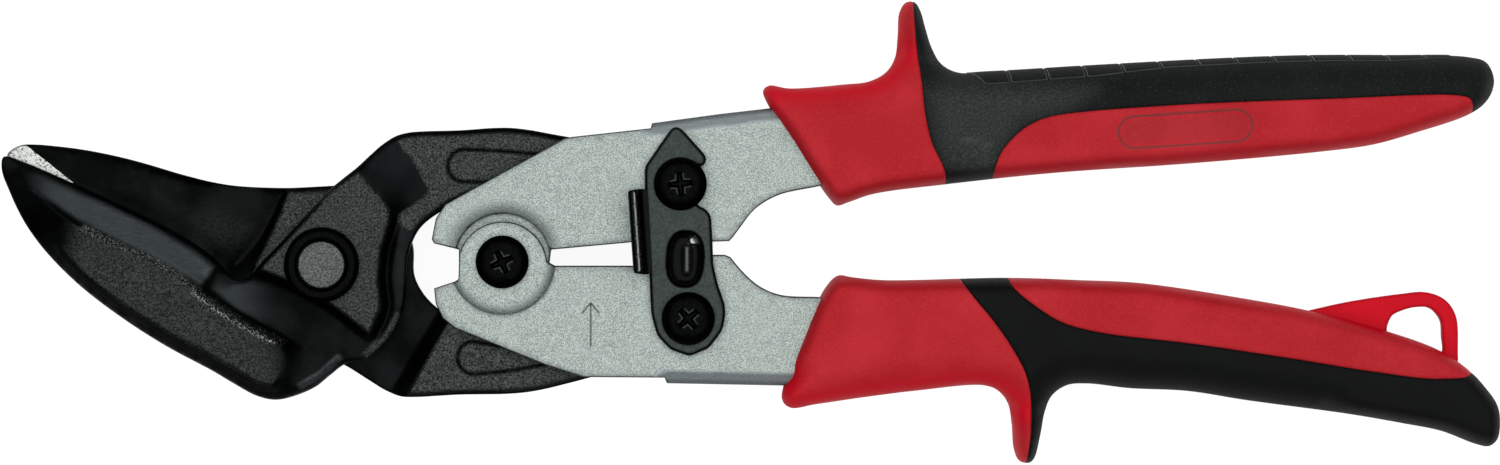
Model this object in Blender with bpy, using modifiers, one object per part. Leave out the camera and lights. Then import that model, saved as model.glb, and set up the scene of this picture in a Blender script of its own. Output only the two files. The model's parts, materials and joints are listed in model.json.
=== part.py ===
"""Offset aviation snips with compound leverage, left cutting pattern, lying flat with the jaws at -X.

Two crossed forgings turn on the blade bolt. Each forging's tail is screwed to one handle, and the two
handles cross at the handle pivot, so the four pivots form a kite-shaped linkage. A hook-shaped latch holds
the handles together. The drawing below is in millimetres, in plan, with z = 0 on the plane between the
blades. drawn() turns it into world metres, with the grips' backs on z = 0.
"""

import math

import bpy
import bmesh
import numpy as np
from mathutils import Vector
from mathutils.geometry import delaunay_2d_cdt

MM = 0.001
GAP = 0.3  # clearance between neighbouring pieces

# The four pivots of the linkage, in plan.
BLADE_PIVOT = (-73.8, -5.6)
HANDLE_PIVOT = (-42.55, -5.11)
UPPER_LINK = (-11.61, 8.41)
LOWER_LINK = (-10.24, -14.91)
CENTRE_X = 0.5  # the middle of the tool's length lies this far from the drawing's x = 0

# Heights above and below the plane between the blades.
GRIP_HALF = 10.0
INNER_FACE = 0.15
HUB_FACE = 6.3
JAW_FACE = 8.4
TAIL_FACE = 3.1
SHEET = 1.7
CHEEK_FACE = 5.4
LOWER_DISC_FACE = 4.8
UPPER_DISC_FACE = LOWER_DISC_FACE - SHEET - 0.2
LATCH_BACK = CHEEK_FACE + GAP
LATCH_FACE = LATCH_BACK + 1.8
LATCH_FLANGE_TOP = 12.0

# Fasteners.
SCREW_R = 2.4
SCREW_HOLE_R = SCREW_R + GAP
SCREW_HEAD_R = 4.6
SCREW_HEAD_HEIGHT = 2.6
LATCH_NECK_R = 1.6
NUT_ACROSS_FLATS = 8.0
NUT_HEIGHT = 2.4
BOLT_R = 4.1
BOLT_HOLE_R = BOLT_R + GAP
COLLAR_R = 6.5
SLEEVE_R = 4.0
SLEEVE_HALF = CHEEK_FACE - SHEET - GAP
OPEN_PIVOT_CLEARANCE = 0.5  # the upper tail's eye is where the closed linkage is opened
EYE_R = 6.4

# Travel: the latch turns back this many times as far as the handles open.
LATCH_RATIO = 1.55
LATCH_FREE_DEG = 12  # the screw's neck has left the hook's mouth once the handles are this far open
HUB_CLEAR_R = 21.0  # outside this radius about the blade bolt the tails may cross the parting plane
CRANK_END_R = 24.5

STEEL_BLACK = ("forged_steel", (0.035, 0.04, 0.038), 0.55, 0.8)
STEEL_ZINC = ("zinc_plated_steel", (0.55, 0.6, 0.58), 0.5, 0.7)
STEEL_DARK = ("black_steel", (0.02, 0.02, 0.02), 0.4, 0.8)
STEEL_GREY = ("bright_steel", (0.3, 0.33, 0.32), 0.5, 1.0)
PLASTIC_RED = ("red_plastic", (0.42, 0.015, 0.025), 0.55, 0.0)
RUBBER_BLACK = ("black_rubber", (0.02, 0.022, 0.022), 0.8, 0.0)


def drawn(x, y, z):
    """World position, in metres, of a point of the drawing."""
    return Vector(((x - CENTRE_X) * MM, y * MM, (z + GRIP_HALF) * MM))


def clear_scene():
    for obj in list(bpy.data.objects):
        bpy.data.objects.remove(obj, do_unlink=True)


def make_collection(name, hidden=False):
    collection = bpy.data.collections.new(name)
    collection.hide_render = hidden
    bpy.context.scene.collection.children.link(collection)
    return collection


clear_scene()
PARTS = make_collection("aviation_snips")
CUTTERS = make_collection("cutters", hidden=True)


def material(finish):
    name, colour, roughness, metallic = finish
    found = bpy.data.materials.get(name)
    if found:
        return found
    made = bpy.data.materials.new(name)
    made.use_nodes = True
    made.diffuse_color = (*colour, 1)
    shader = made.node_tree.nodes["Principled BSDF"]
    shader.inputs["Base Color"].default_value = (*colour, 1)
    shader.inputs["Roughness"].default_value = roughness
    shader.inputs["Metallic"].default_value = metallic
    return made


def place(name, mesh, finish=None, smooth_angle=35):
    """Make an object of a mesh: a part with its finish, or a hidden cutter without one."""
    obj = bpy.data.objects.new(name, mesh)
    if finish is None:
        CUTTERS.objects.link(obj)
        obj.hide_render = True
        obj.display_type = "WIRE"
        return obj
    PARTS.objects.link(obj)
    mesh.materials.clear()
    mesh.materials.append(material(finish))
    mesh.shade_smooth()
    mesh.set_sharp_from_angle(angle=math.radians(smooth_angle))
    return obj


def combine(obj, operation, other):
    modifier = obj.modifiers.new(operation.lower() + "_" + other.name, "BOOLEAN")
    modifier.operation = operation
    modifier.solver = "EXACT"
    modifier.object = other


# ---------------------------------------------------------------- outlines


def arc(centre, radius, start_deg, end_deg, steps):
    angles = np.radians(np.linspace(start_deg, end_deg, steps + 1))
    return [(centre[0] + radius * math.cos(a), centre[1] + radius * math.sin(a)) for a in angles]


def circle(centre, radius, steps=24):
    return arc(centre, radius, 0, 360, steps)[:-1]


def rounded(points, step, closed=True):
    """A smooth line through points of two or three values (centripetal Catmull-Rom), a point every step."""
    points = [np.array(p, float) for p in points]
    count = len(points)
    line = []
    for i in range(count if closed else count - 1):
        near, far = points[i], points[(i + 1) % count]
        before = points[i - 1] if closed or i else near - (far - near)
        after = points[(i + 2) % count] if closed or i + 2 < count else far + (far - near)
        quad = [before, near, far, after]
        spans = [max(np.linalg.norm((b - a)[:2]), 1e-6) ** 0.5 for a, b in zip(quad, quad[1:])]
        knots = np.cumsum([0, *spans])
        pieces = max(1, round(float(np.linalg.norm((far - near)[:2])) / step))
        for t in np.linspace(knots[1], knots[2], pieces, endpoint=False):
            line.append(tuple(on_curve(quad, knots, t)))
    if not closed:
        line.append(tuple(points[-1]))
    return line


def on_curve(quad, knots, t):
    """The point at t of a Catmull-Rom curve through the middle two of four points."""

    def mix(a, b, low, high):
        return ((high - t) * a + (t - low) * b) / (high - low)

    first = mix(quad[0], quad[1], knots[0], knots[1])
    middle = mix(quad[1], quad[2], knots[1], knots[2])
    last = mix(quad[2], quad[3], knots[2], knots[3])
    left = mix(first, middle, knots[0], knots[2])
    right = mix(middle, last, knots[1], knots[3])
    return mix(left, right, knots[1], knots[2])


def inside(points, loop):
    """Which points lie inside a closed loop."""
    loop = np.array([p[:2] for p in loop])
    nxt = np.roll(loop, -1, axis=0)
    x, y = points[:, 0, None], points[:, 1, None]
    crosses = (loop[:, 1] > y) != (nxt[:, 1] > y)
    rise = np.where(nxt[:, 1] == loop[:, 1], 1.0, nxt[:, 1] - loop[:, 1])
    at_x = loop[:, 0] + (y - loop[:, 1]) / rise * (nxt[:, 0] - loop[:, 0])
    return (crosses & (x < at_x)).sum(axis=1) % 2 == 1


def distance(points, loop):
    """How far each point is from a closed loop."""
    loop = np.array([p[:2] for p in loop])
    along = np.roll(loop, -1, axis=0) - loop
    offset = points[:, None, :] - loop
    share = (offset * along).sum(axis=2) / (along**2).sum(axis=1)
    nearest = offset - np.clip(share, 0, 1)[..., None] * along
    return np.sqrt((nearest**2).sum(axis=2)).min(axis=1)


def moved_in(loop, depth):
    """A loop moved inwards by depth (outwards if negative), point by point."""
    loop = np.array([p[:2] for p in loop])
    along = np.roll(loop, -1, axis=0) - np.roll(loop, 1, axis=0)
    normal = np.stack([-along[:, 1], along[:, 0]], axis=1)
    normal /= np.linalg.norm(normal, axis=1)[:, None]
    probe = inside(loop + normal * 0.01, loop)
    normal *= 1 if probe.mean() > 0.5 else -1
    return [tuple(p) for p in loop + normal * depth]


# ---------------------------------------------------------------- solids


def heights(*lines):
    """A surface through lines of (x, y, z): each point takes the height of the nearest stated one."""
    stated = np.array([p for line in lines for p in line])

    def surface(points):
        gaps = ((points[:, None, :] - stated[:, :2]) ** 2).sum(axis=2)
        return stated[gaps.argmin(axis=1), 2]

    return surface


def relief_mesh(name, outline, top, bottom, holes=(), lines=(), points=()):
    """A closed mesh over an outline in plan, between two surfaces. Its faces break along lines."""
    loops = [list(outline)] + [list(hole) for hole in holes]
    plan = []
    edges = []
    for loop in loops:
        start = len(plan)
        plan += [p[:2] for p in loop]
        edges += [(start + i, start + (i + 1) % len(loop)) for i in range(len(loop))]
    for line in lines:
        start = len(plan)
        plan += [p[:2] for p in line]
        edges += [(start + i, start + i + 1) for i in range(len(line) - 1)]
    plan += [tuple(p) for p in points]
    found = delaunay_2d_cdt([Vector(p) for p in plan], edges, [], 0, 1e-4)
    flat = np.array([tuple(p) for p in found[0]])
    faces = np.array(found[2])
    middles = flat[faces].mean(axis=1)
    kept = inside(middles, loops[0])
    for hole in loops[1:]:
        kept &= ~inside(middles, hole)
    faces = faces[kept]
    high, low = top(flat), bottom(flat)
    bm = bmesh.new()
    upper = [bm.verts.new(drawn(*p, z)) for p, z in zip(flat, high)]
    lower = [bm.verts.new(drawn(*p, z)) for p, z in zip(flat, low)]
    sides = {}
    for face in faces:
        bm.faces.new([upper[i] for i in face])
        bm.faces.new([lower[i] for i in reversed(face)])
        for a, b in zip(face, np.roll(face, -1)):
            sides[(a, b)] = (b, a) not in sides
            if (b, a) in sides:
                del sides[(a, b)], sides[(b, a)]
    for a, b in sides:
        bm.faces.new([upper[b], upper[a], lower[a], lower[b]])
    bmesh.ops.delete(bm, geom=[v for v in bm.verts if not v.link_faces], context="VERTS")
    bmesh.ops.remove_doubles(bm, verts=bm.verts, dist=0.01 * MM)
    bmesh.ops.dissolve_degenerate(bm, edges=bm.edges, dist=0.005 * MM)
    bmesh.ops.recalc_face_normals(bm, faces=bm.faces)
    mesh = bpy.data.meshes.new(name)
    bm.to_mesh(mesh)
    bm.free()
    return mesh


def slab(name, outline, z_low, z_high, finish=None, holes=()):
    """A flat plate: a filled 2D curve with an extrusion, made into a mesh."""
    data = bpy.data.curves.new(name, "CURVE")
    data.dimensions = "2D"
    data.fill_mode = "BOTH"
    data.extrude = (z_high - z_low) / 2 * MM
    for loop in [outline, *holes]:
        spline = data.splines.new("POLY")
        spline.points.add(len(loop) - 1)
        for point, (x, y) in zip(spline.points, loop):
            point.co = (*drawn(x, y, 0).xy, 0, 1)
        spline.use_cyclic_u = True
    curve = bpy.data.objects.new(name + "_outline", data)
    curve.location.z = drawn(0, 0, (z_low + z_high) / 2).z
    CUTTERS.objects.link(curve)
    graph = bpy.context.evaluated_depsgraph_get()
    mesh = bpy.data.meshes.new_from_object(curve.evaluated_get(graph))
    mesh.transform(curve.matrix_basis)
    bpy.data.objects.remove(curve, do_unlink=True)
    bm = bmesh.new()
    bm.from_mesh(mesh)
    bmesh.ops.remove_doubles(bm, verts=bm.verts, dist=0.002 * MM)
    bmesh.ops.recalc_face_normals(bm, faces=bm.faces)
    bm.to_mesh(mesh)
    bm.free()
    return place(name, mesh, finish)


def turned(name, axis, profile, finish, steps=24):
    """A turned piece on a vertical axis, from an outer profile of (radius, height) read downwards."""
    bm = bmesh.new()
    ring = [bm.verts.new((radius * MM, 0, height * MM)) for radius, height in profile]
    for a, b in zip(ring, ring[1:]):
        bm.edges.new((a, b))
    if profile[0][0] > 0:
        bm.edges.new((ring[-1], ring[0]))
    mesh = bpy.data.meshes.new(name)
    bm.to_mesh(mesh)
    bm.free()
    obj = place(name, mesh, finish)
    obj.location = drawn(*axis, 0)
    screw = obj.modifiers.new("turn", "SCREW")
    screw.axis = "Z"
    screw.steps = steps
    screw.render_steps = steps
    screw.use_merge_vertices = True
    screw.merge_threshold = 0.00001
    screw.use_smooth_shade = True
    return obj


def ring(name, axis, inner, outer, z_low, z_high, finish, steps=24):
    profile = [(inner, z_high), (outer, z_high), (outer, z_low), (inner, z_low)]
    return turned(name, axis, profile, finish, steps)


def wire(name, path, radius, finish, sides=2):
    data = bpy.data.curves.new(name, "CURVE")
    data.dimensions = "3D"
    data.bevel_depth = radius * MM
    data.bevel_resolution = sides
    data.use_fill_caps = True
    data.materials.append(material(finish))
    spline = data.splines.new("POLY")
    spline.points.add(len(path) - 1)
    for point, place_mm in zip(spline.points, path):
        point.co = (*drawn(*place_mm), 1)
    obj = bpy.data.objects.new(name, data)
    PARTS.objects.link(obj)
    return obj


# ---------------------------------------------------------------- forgings


def crank(points):
    """0 over the hub and the blade, rising to 1 where a tail has reached the middle plane."""
    offset = points - np.array(BLADE_PIVOT)
    radius = np.linalg.norm(offset, axis=1)
    share = np.clip((radius - HUB_CLEAR_R) / (CRANK_END_R - HUB_CLEAR_R), 0, 1)
    return np.where(offset[:, 0] > 2, share, 0)


def between(start, end):
    return lambda points: start + (end - start) * crank(points)


def crank_points():
    """Free points that carry the step of a crank."""
    found = []
    for radius in (HUB_CLEAR_R, (HUB_CLEAR_R + CRANK_END_R) / 2, CRANK_END_R):
        found += arc(BLADE_PIVOT, radius, -75, 75, 16)
    return found


def lower_jaw():
    """The front forging: lower jaw, hub plate, crank and upper tail."""
    cutting_edge = [(-129.5, 13.2, 2), (-126, 12.2, 1), (-118.5, 9, 1), (-111, 5.5, 1), (-104, 2.2, 1),
                    (-98, -1, 1), (-92.8, -4.6, 1)]
    hub_edge = [(-90, -7.6, 1.5), (-88.4, -8.2, 2), (-86.4, -7.4, 4), (-85, -5.9, 5.6), (-80.5, -1.2, 5.6),
                (-76, 3.7, 5.6), (-72, 7.9, 5.6), (-67.8, 11.3, 5.6)]
    tail_edge = [(-63.6, 15.2, 4), (-61.2, 16.8, 2.6), (-59, 17.4, 2.4), (-50, 17.8, 2.4), (-41, 18.2, 2.4),
                 (-31, 16.6, 2.4), (-20, 15, 2.4)]
    eye = [(x, y, TAIL_FACE) for x, y in arc(UPPER_LINK, EYE_R, 85, -95, 9)]
    crescent = [(-22, 3.6, 3), (-34, 7.6, 3), (-46, 7, 3), (-53.4, 3.7, 3), (-57.1, 0.7, 3), (-59, -3.5, 3),
                (-59.4, -8, 3), (-60, -13.5, 3), (-62.4, -18.4, 3), (-66, -21.8, 3), (-70.1, -22.9, 3)]
    jaw_edge = [(-75.3, -26.9, 3), (-79, -28.5, 3), (-82.2, -29.1, 3), (-85.4, -28.4, 3), (-93, -24.1, 3),
                (-101.4, -19.6, 3), (-109.3, -14.5, 3), (-116.3, -9.1, 3), (-121.9, -3.5, 3),
                (-125.7, 1.6, 2.6), (-128.3, 6.75, 2.2), (-129.9, 11, 1.6)]
    outline = rounded(cutting_edge + hub_edge + tail_edge + eye + crescent + jaw_edge, 3.5)

    flank_top = rounded([(-127.6, 9.6, 4), (-124, 7.8, 6), (-120, 4.9, 7.2), (-115, 1.3, 7.6),
                         (-109, -2, 7.6), (-103, -4.8, 7.6), (-97, -8.4, 7.6), (-94, -11.2, 7.6),
                         (-86, -16.2, 7.6), (-80.5, -18.9, 7)], 5, closed=False)
    margin = rounded([(-125.9, 7, 6), (-120.2, -2, 8), (-115, -7.3, JAW_FACE), (-108.2, -12.6, JAW_FACE),
                      (-100.3, -17.7, JAW_FACE), (-92, -22.1, JAW_FACE), (-84.4, -26.2, 8),
                      (-80, -26.4, 7.4), (-75.9, -24.8, 6), (-71.6, -21.2, 4.6)], 5, closed=False)
    valley = [(-91, -8.9, 3), (-86, -9.6, 4), (-80, -12.4, 4.2), (-74, -16, 4.2), (-70.4, -19.2, 4)]
    plateau = [(-84, -6, HUB_FACE), (-76, 2.8, HUB_FACE), (-71.6, 7.3, HUB_FACE), (-67.9, 10, HUB_FACE),
               (-62, 3.8, HUB_FACE), (-63.4, -3, HUB_FACE), (-64, -8, HUB_FACE), (-63.6, -13, HUB_FACE),
               (-65.8, -17.2, HUB_FACE), (-72.5, -12.4, HUB_FACE), (-80, -8, HUB_FACE)]
    plateau = plateau + plateau[:1]
    ledge = [(-60.8, 3.4, 3.3), (-62, -3, 3.3), (-62.6, -8, 3.3), (-62.2, -13.3, 3.3), (-64.8, -18.6, 3.3)]
    tail_line = [(-60.2, 15.9, TAIL_FACE), (-57.8, 12.3, TAIL_FACE), (-55.3, 7.3, TAIL_FACE),
                 (-57.6, 5, TAIL_FACE)]
    rib = [(-56, 16.3, TAIL_FACE), (-41, 17, TAIL_FACE), (-31, 15.2, TAIL_FACE), (-20, 13.4, TAIL_FACE)]
    lines = [flank_top, margin, valley, plateau, ledge, tail_line, rib]
    bolt_hole = circle(BLADE_PIVOT, BOLT_HOLE_R)
    eye_hole = circle(UPPER_LINK, SLEEVE_R + OPEN_PIVOT_CLEARANCE)
    extra = [(-50, 11), (-41, 12), (-31, 10)]
    extra += [p for p in crank_points() if p[1] > 6 and inside(np.array([p]), outline)[0]]
    flat_zone = [(*p, TAIL_FACE) for p in eye_hole + extra[:3]] + [(*p, HUB_FACE) for p in bolt_hole]
    sloping = [(*p, TAIL_FACE + (HUB_FACE - TAIL_FACE) * max(0, (CRANK_END_R - math.dist(p, BLADE_PIVOT)) / 8))
               for p in extra[3:]]
    mesh = relief_mesh("lower_jaw", outline, heights(outline, *lines, flat_zone, sloping),
                       between(INNER_FACE, -TAIL_FACE), [bolt_hole, eye_hole], lines, extra)
    return place("lower_jaw", mesh, STEEL_BLACK)


def upper_blade():
    """The rear forging: upper blade, hub, crank and lower tail."""
    back = [(-129.2, 13.3, -2), (-128.9, 14, -3), (-126.9, 15.2, -4), (-121, 15.1, -5), (-114, 14.1, -6),
            (-107, 12.5, -6), (-97.7, 9.8, -6), (-90.6, 8.3, -6), (-80, 7.8, -5.6), (-72, 8.2, -5.6)]
    hub_arc = [(x, y, -5) for x, y in arc(BLADE_PIVOT, 15.6, 62, 10, 5)]
    crescent = [(-58.2, -7.5, -3), (-56.3, -11.1, -3), (-53.2, -13.9, -3), (-44, -16.6, -3), (-32, -13.4, -3),
                (-20, -10.2, -3)]
    eye = [(x, y, -TAIL_FACE) for x, y in arc(LOWER_LINK, EYE_R, 98, -90, 9)]
    tail_edge = [(-20, -23.2, -2.4), (-28.4, -25.5, -2.4), (-38.5, -27.8, -2.4), (-50, -28.2, -2.4),
                 (-60.5, -28.5, -2.4), (-63, -27.6, -2.8), (-69.8, -23.4, -4)]
    heel = [(-76, -20.4, -5), (-82, -16.4, -5), (-88, -11.2, -3)]
    cutting_edge = [(-93, -6.8, -1), (-98, -3.2, -1), (-104, 0.2, -1), (-111, 3.6, -1), (-118.5, 7.2, -1),
                    (-126, 10.6, -1), (-129, 12.2, -1.4)]
    outline = rounded(back + hub_arc + crescent + eye + tail_edge + heel + cutting_edge, 3.5)

    spine = rounded([(-125, 13, -5), (-118, 11.6, -JAW_FACE + 1.4), (-108, 8.2, -JAW_FACE + 1),
                     (-98, 3.6, -JAW_FACE + 1), (-90, -1.4, -7)], 5, closed=False)
    hub = rounded([(x, y, -HUB_FACE) for x, y in arc(BLADE_PIVOT, 12.2, -20, -340, 14)], 6)
    hub.append(hub[0])
    tail_line = [(-54, -16.5, -TAIL_FACE), (-58.6, -24.6, -TAIL_FACE), (-50, -26.8, -TAIL_FACE),
                 (-38, -26.4, -TAIL_FACE), (-26, -23.2, -TAIL_FACE)]
    lines = [spine, hub, tail_line]
    bolt_hole = circle(BLADE_PIVOT, BOLT_HOLE_R)
    eye_hole = circle(LOWER_LINK, SLEEVE_R + GAP)
    extra = [p for p in crank_points() if p[1] < -15 and inside(np.array([p]), outline)[0]]
    known = [(*p, -TAIL_FACE) for p in eye_hole] + [(*p, -HUB_FACE) for p in bolt_hole]
    known += [(*p, -TAIL_FACE - (HUB_FACE - TAIL_FACE) * max(0, (CRANK_END_R - math.dist(p, BLADE_PIVOT)) / 8))
              for p in extra]
    mesh = relief_mesh("upper_blade", outline, between(-INNER_FACE, TAIL_FACE),
                       heights(outline, *lines, known), [bolt_hole, eye_hole], lines, extra)
    return place("upper_blade", mesh, STEEL_BLACK)


# ---------------------------------------------------------------- handles


def dish(plane, floor, rim_r, floor_r):
    """Half the thickness of a handle in plan: flat, with a round dish about the handle pivot."""

    def surface(points):
        radius = np.linalg.norm(points - np.array(HANDLE_PIVOT), axis=1)
        share = np.clip((radius - floor_r) / (rim_r - floor_r), 0, 1)
        return floor + (plane - floor) * share

    return surface


def channel_handle(name, outline, hollow, holes, floor, rim_r, floor_r):
    """A sheet stamping: two cheeks, joined by a web wherever the hollow stays inside the outline."""
    outer = dish(CHEEK_FACE, floor, rim_r, floor_r)
    inner = dish(CHEEK_FACE - SHEET, floor - SHEET, rim_r, floor_r)
    rings = []
    for radius in (floor_r, rim_r):
        rings += circle(HANDLE_PIVOT, radius, 32)
    in_part = [p for p in rings if inside(np.array([p]), outline)[0]]
    in_hollow = [p for p in rings if inside(np.array([p]), hollow)[0]]
    solid = relief_mesh(name, outline, outer, lambda p: -outer(p), holes, points=in_part)
    space = relief_mesh(name + "_hollow", hollow, inner, lambda p: -inner(p), points=in_hollow)
    part = place(name, solid, STEEL_ZINC)
    combine(part, "DIFFERENCE", place(name + "_hollow", space))
    return part


UPPER_WEB = [(-16.6, 19), (-4.8, 20.6), (4.8, 21.7), (20, 22.9), (40, 24.6), (65, 25.8), (104, 27)]
UPPER_INSIDE = [(104, 18.2), (90, 17), (65, 14.8), (35, 12), (20, 9.6), (12, 7.9)]
LOWER_WEB = [(-14, -26.2), (6.5, -26.6), (20, -25.6), (40, -23.9), (60, -23), (82, -24.8), (104, -28.2)]
LOWER_INSIDE = [(104, -19.4), (90, -15.6), (65, -12.2), (45, -11.5), (20, -11.7), (12.8, -11.2)]


def upper_handle():
    nose = [(-50.8, -2.8), (-54.4, -1.9), (-54.8, -1.2), (-54.1, 2.4), (-52.5, 4.9), (-49.1, 6.8),
            (-31.8, 16.3), (-30.5, 16.6), (-16.8, 18.1)]
    neck = rounded([(12, 7.9), (5.3, 6.5), (1.3, 4.1), (-2.3, -0.35)], 3, closed=False)
    edge = [(-3.1, -1.55), (-6.1, -1.6), (-20.1, -1.7), (-34.3, -3)]
    disc = arc(HANDLE_PIVOT, 8, 0, -164, 18) + [(-50.4, -6.8), (-50.4, -3.2)]
    outline = nose + UPPER_WEB + UPPER_INSIDE[:-1] + neck + edge + disc
    web_face = moved_in(outline, SHEET)[len(nose):len(nose) + len(UPPER_WEB)]
    web_face[0] = (-20, web_face[0][1])
    beyond = [(110, 25.3), (110, 14), (60, 9), (10, 3), (-2, -6), (-20, -6), (-30, -16), (-54, -16),
              (-60, -3), (-57, 9), (-33, 21), (-20, 21)]
    holes = [circle(HANDLE_PIVOT, SCREW_HOLE_R), circle(UPPER_LINK, SCREW_HOLE_R)]
    return channel_handle("upper_handle", outline, web_face + beyond, holes, UPPER_DISC_FACE, 10.4, 8.4)


def lower_handle():
    nose = [(-14.4, -25.2), (-28.4, -25.1), (-35.1, -23), (-50.8, -16.6), (-52.9, -14.9), (-54.1, -12.4),
            (-54.4, -9.6), (-50.8, -8.4), (-50.4, -7.6)]
    disc = arc((HANDLE_PIVOT[0], HANDLE_PIVOT[1] - 0.8), 7.8, 164, 6, 16)
    edge = [(-34.6, -5.3), (-33.7, -5.8), (-19.7, -5.8), (-6.1, -3.9), (-3.3, -4)]
    neck = rounded([(-3.3, -4), (-0.7, -7.2), (2.1, -9.6), (5.7, -11), (12.8, -11.2)], 3, closed=False)[1:]
    outline = nose + disc + edge + neck + LOWER_INSIDE[-2::-1] + LOWER_WEB[::-1]
    web_face = moved_in(outline, SHEET)[-len(LOWER_WEB):]
    web_face[-1] = (-18, web_face[-1][1])
    beyond = [(-18, -29), (-30, -29), (-56, -19), (-60, -8), (-54, 8), (-33, 8), (-20, 0), (0, 0), (12, -4),
              (60, -8), (110, -15), (110, -26.6)]
    holes = [circle(HANDLE_PIVOT, SCREW_HOLE_R), circle(LOWER_LINK, SCREW_HOLE_R)]
    return channel_handle("lower_handle", outline, web_face + beyond, holes, LOWER_DISC_FACE, 10.6, 9.2)


# ---------------------------------------------------------------- grips

GRIP_EDGE_HALF = 1.5  # half height of the side wall at a grip's outline
GRIP_ROUND = 5.0  # width in plan over which a grip rounds off
COVER_THICK = 2.2  # soft cover over the hard body
CORE_HALF = 7.2  # half thickness of the hard body under the cover
POCKET_HALF = CHEEK_FACE + GAP
LOOP_HALF = 1.8
LOOP_FOOT_HALF = 1.5

UPPER_GRIP = [
    (2.7, 24.7), (3.8, 25.6), (7.2, 25.1), (16.9, 25.8), (21.1, 26.3), (24.1, 27.9), (25.7, 30.4), (26.2, 34.2),
    (26.5, 38.4), (27.6, 40.1), (29.1, 40.1), (30.1, 38.6), (31, 35.5), (32.1, 32.1), (33.7, 29.4),
    (36.5, 27.9), (42, 28), (58.9, 29), (85.4, 30.4), (98.4, 30.8), (111.7, 30.8), (125.2, 30.6),
    (128.5, 29.7), (129.8, 27.4), (129.9, 25.3), (128.5, 22.7), (125.7, 20.6), (116.4, 17.4), (108.9, 15.3),
    (100, 14.1), (76.6, 12), (53.6, 10.4), (34.6, 8.4), (21.9, 6.7), (17.7, 5.3), (15.6, 4.7), (14.2, 6),
    (8.6, 14.6),
]
UPPER_COVER = [
    (28.7, 46), (28.7, 40.1), (29.3, 32.1), (30.2, 25.8), (30.8, 20.3), (31.9, 15.6), (34, 11), (34.4, 8.6),
    (34.4, 4), (42.6, 4), (42.6, 9.5), (43.5, 13.1), (45.2, 15.6), (48.1, 18.2), (51.5, 19.8), (54.9, 20.5),
    (73.4, 22), (100, 23.1), (122.9, 23.7), (125, 23.1), (125.8, 21), (127, 14), (137, 14), (137, 40),
]
LOWER_GRIP = [
    (15.8, -7.5), (18.3, -7.8), (23.6, -8.3), (45.4, -7.9), (58, -8.3), (68.4, -8.8), (86, -11.4),
    (97.7, -13.6), (111.7, -17.3), (120.6, -20.6), (125.7, -24.1), (128.5, -27.1), (130.4, -29.9),
    (130.9, -32.7), (130.4, -36), (129, -37.2), (127.1, -36.9), (121, -34.6), (114, -33.2), (104.7, -31.6),
    (86.9, -29.2), (76.6, -27.6), (66.4, -27.1), (59.2, -26.3), (55.6, -26.6), (53, -28.4), (51.8, -31.1),
    (51, -35.1), (49.9, -39.3), (49, -40.1), (47.4, -39.8), (46.5, -37.8), (46.1, -33.3), (45.4, -29.7),
    (43.6, -27.5), (41, -26.6), (29.8, -27.5), (20.9, -28.6), (12, -29.9), (7.4, -30.5), (6, -29),
    (9.6, -18.4), (13.6, -9.6),
]
LOWER_COVER = [
    (37, -3), (37, -8), (38.7, -10.6), (42.7, -15.5), (45.8, -20), (48.1, -24.4), (49.1, -28.9), (49, -35.1),
    (48.3, -40), (48, -46), (137, -46), (137, -20), (127, -20), (125.7, -24.3), (119.6, -25.3), (108.4, -24.1),
    (95.4, -22), (76.6, -19.2), (61, -17.3), (54.3, -15.5), (49.9, -12.8), (46.7, -10.2), (45.4, -8.2),
    (45.4, -3),
]


def pillow(name, outline, finish=None):
    """The whole form of a grip: its outline in plan, rounded over towards both faces."""

    def half(points):
        depth = np.minimum(distance(points, outline), GRIP_ROUND) / GRIP_ROUND
        return GRIP_EDGE_HALF + (GRIP_HALF - GRIP_EDGE_HALF) * np.sqrt(1 - (1 - depth) ** 2)

    rings = []
    for depth in (0.35, 1.3, 2.9, GRIP_ROUND):
        ring_points = np.array(moved_in(outline, depth))[:: 1 if depth < 2 else 2]
        far = distance(ring_points, outline) > depth * 0.95
        rings += [tuple(p) for p in ring_points[far & inside(ring_points, outline)]]
    mesh = relief_mesh(name, outline, half, lambda p: -half(p), points=rings)
    return place(name, mesh, finish, smooth_angle=50)


def grip(side, outline, cover_area, web, inner, extra_slot=None):
    """A hard red body and a soft black cover, round the channel of one handle."""
    outline = rounded(outline, 4)
    cover_area = rounded(cover_area, 6)
    channel = web + [(106, web[-1][1]), (106, inner[0][1]), *inner, (0, inner[-1][1])]
    pocket = slab(side + "_pocket", moved_in(channel, -GAP), -POCKET_HALF, POCKET_HALF)
    core_outline = moved_in(outline, COVER_THICK)
    unfolded = distance(np.array(core_outline), outline) > COVER_THICK * 0.93
    core_outline = [p for p, good in zip(core_outline, unfolded) if good]
    core = slab(side + "_core", core_outline, -CORE_HALF, CORE_HALF)
    room = slab(side + "_core_room", moved_in(core_outline, -GAP), -CORE_HALF - GAP, CORE_HALF + GAP)
    area = slab(side + "_cover_area", cover_area, -15, 15)
    area_room = slab(side + "_cover_room", moved_in(cover_area, -GAP), -15, 15)

    cover = pillow(side + "_grip_cover", outline, RUBBER_BLACK)
    combine(cover, "INTERSECT", area)
    combine(cover, "DIFFERENCE", room)
    body = pillow(side + "_grip_body", outline, PLASTIC_RED)
    combine(body, "DIFFERENCE", area_room)
    combine(body, "UNION", core)
    combine(body, "DIFFERENCE", pocket)
    if extra_slot:
        combine(body, "DIFFERENCE", extra_slot)
    return body, cover


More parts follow.
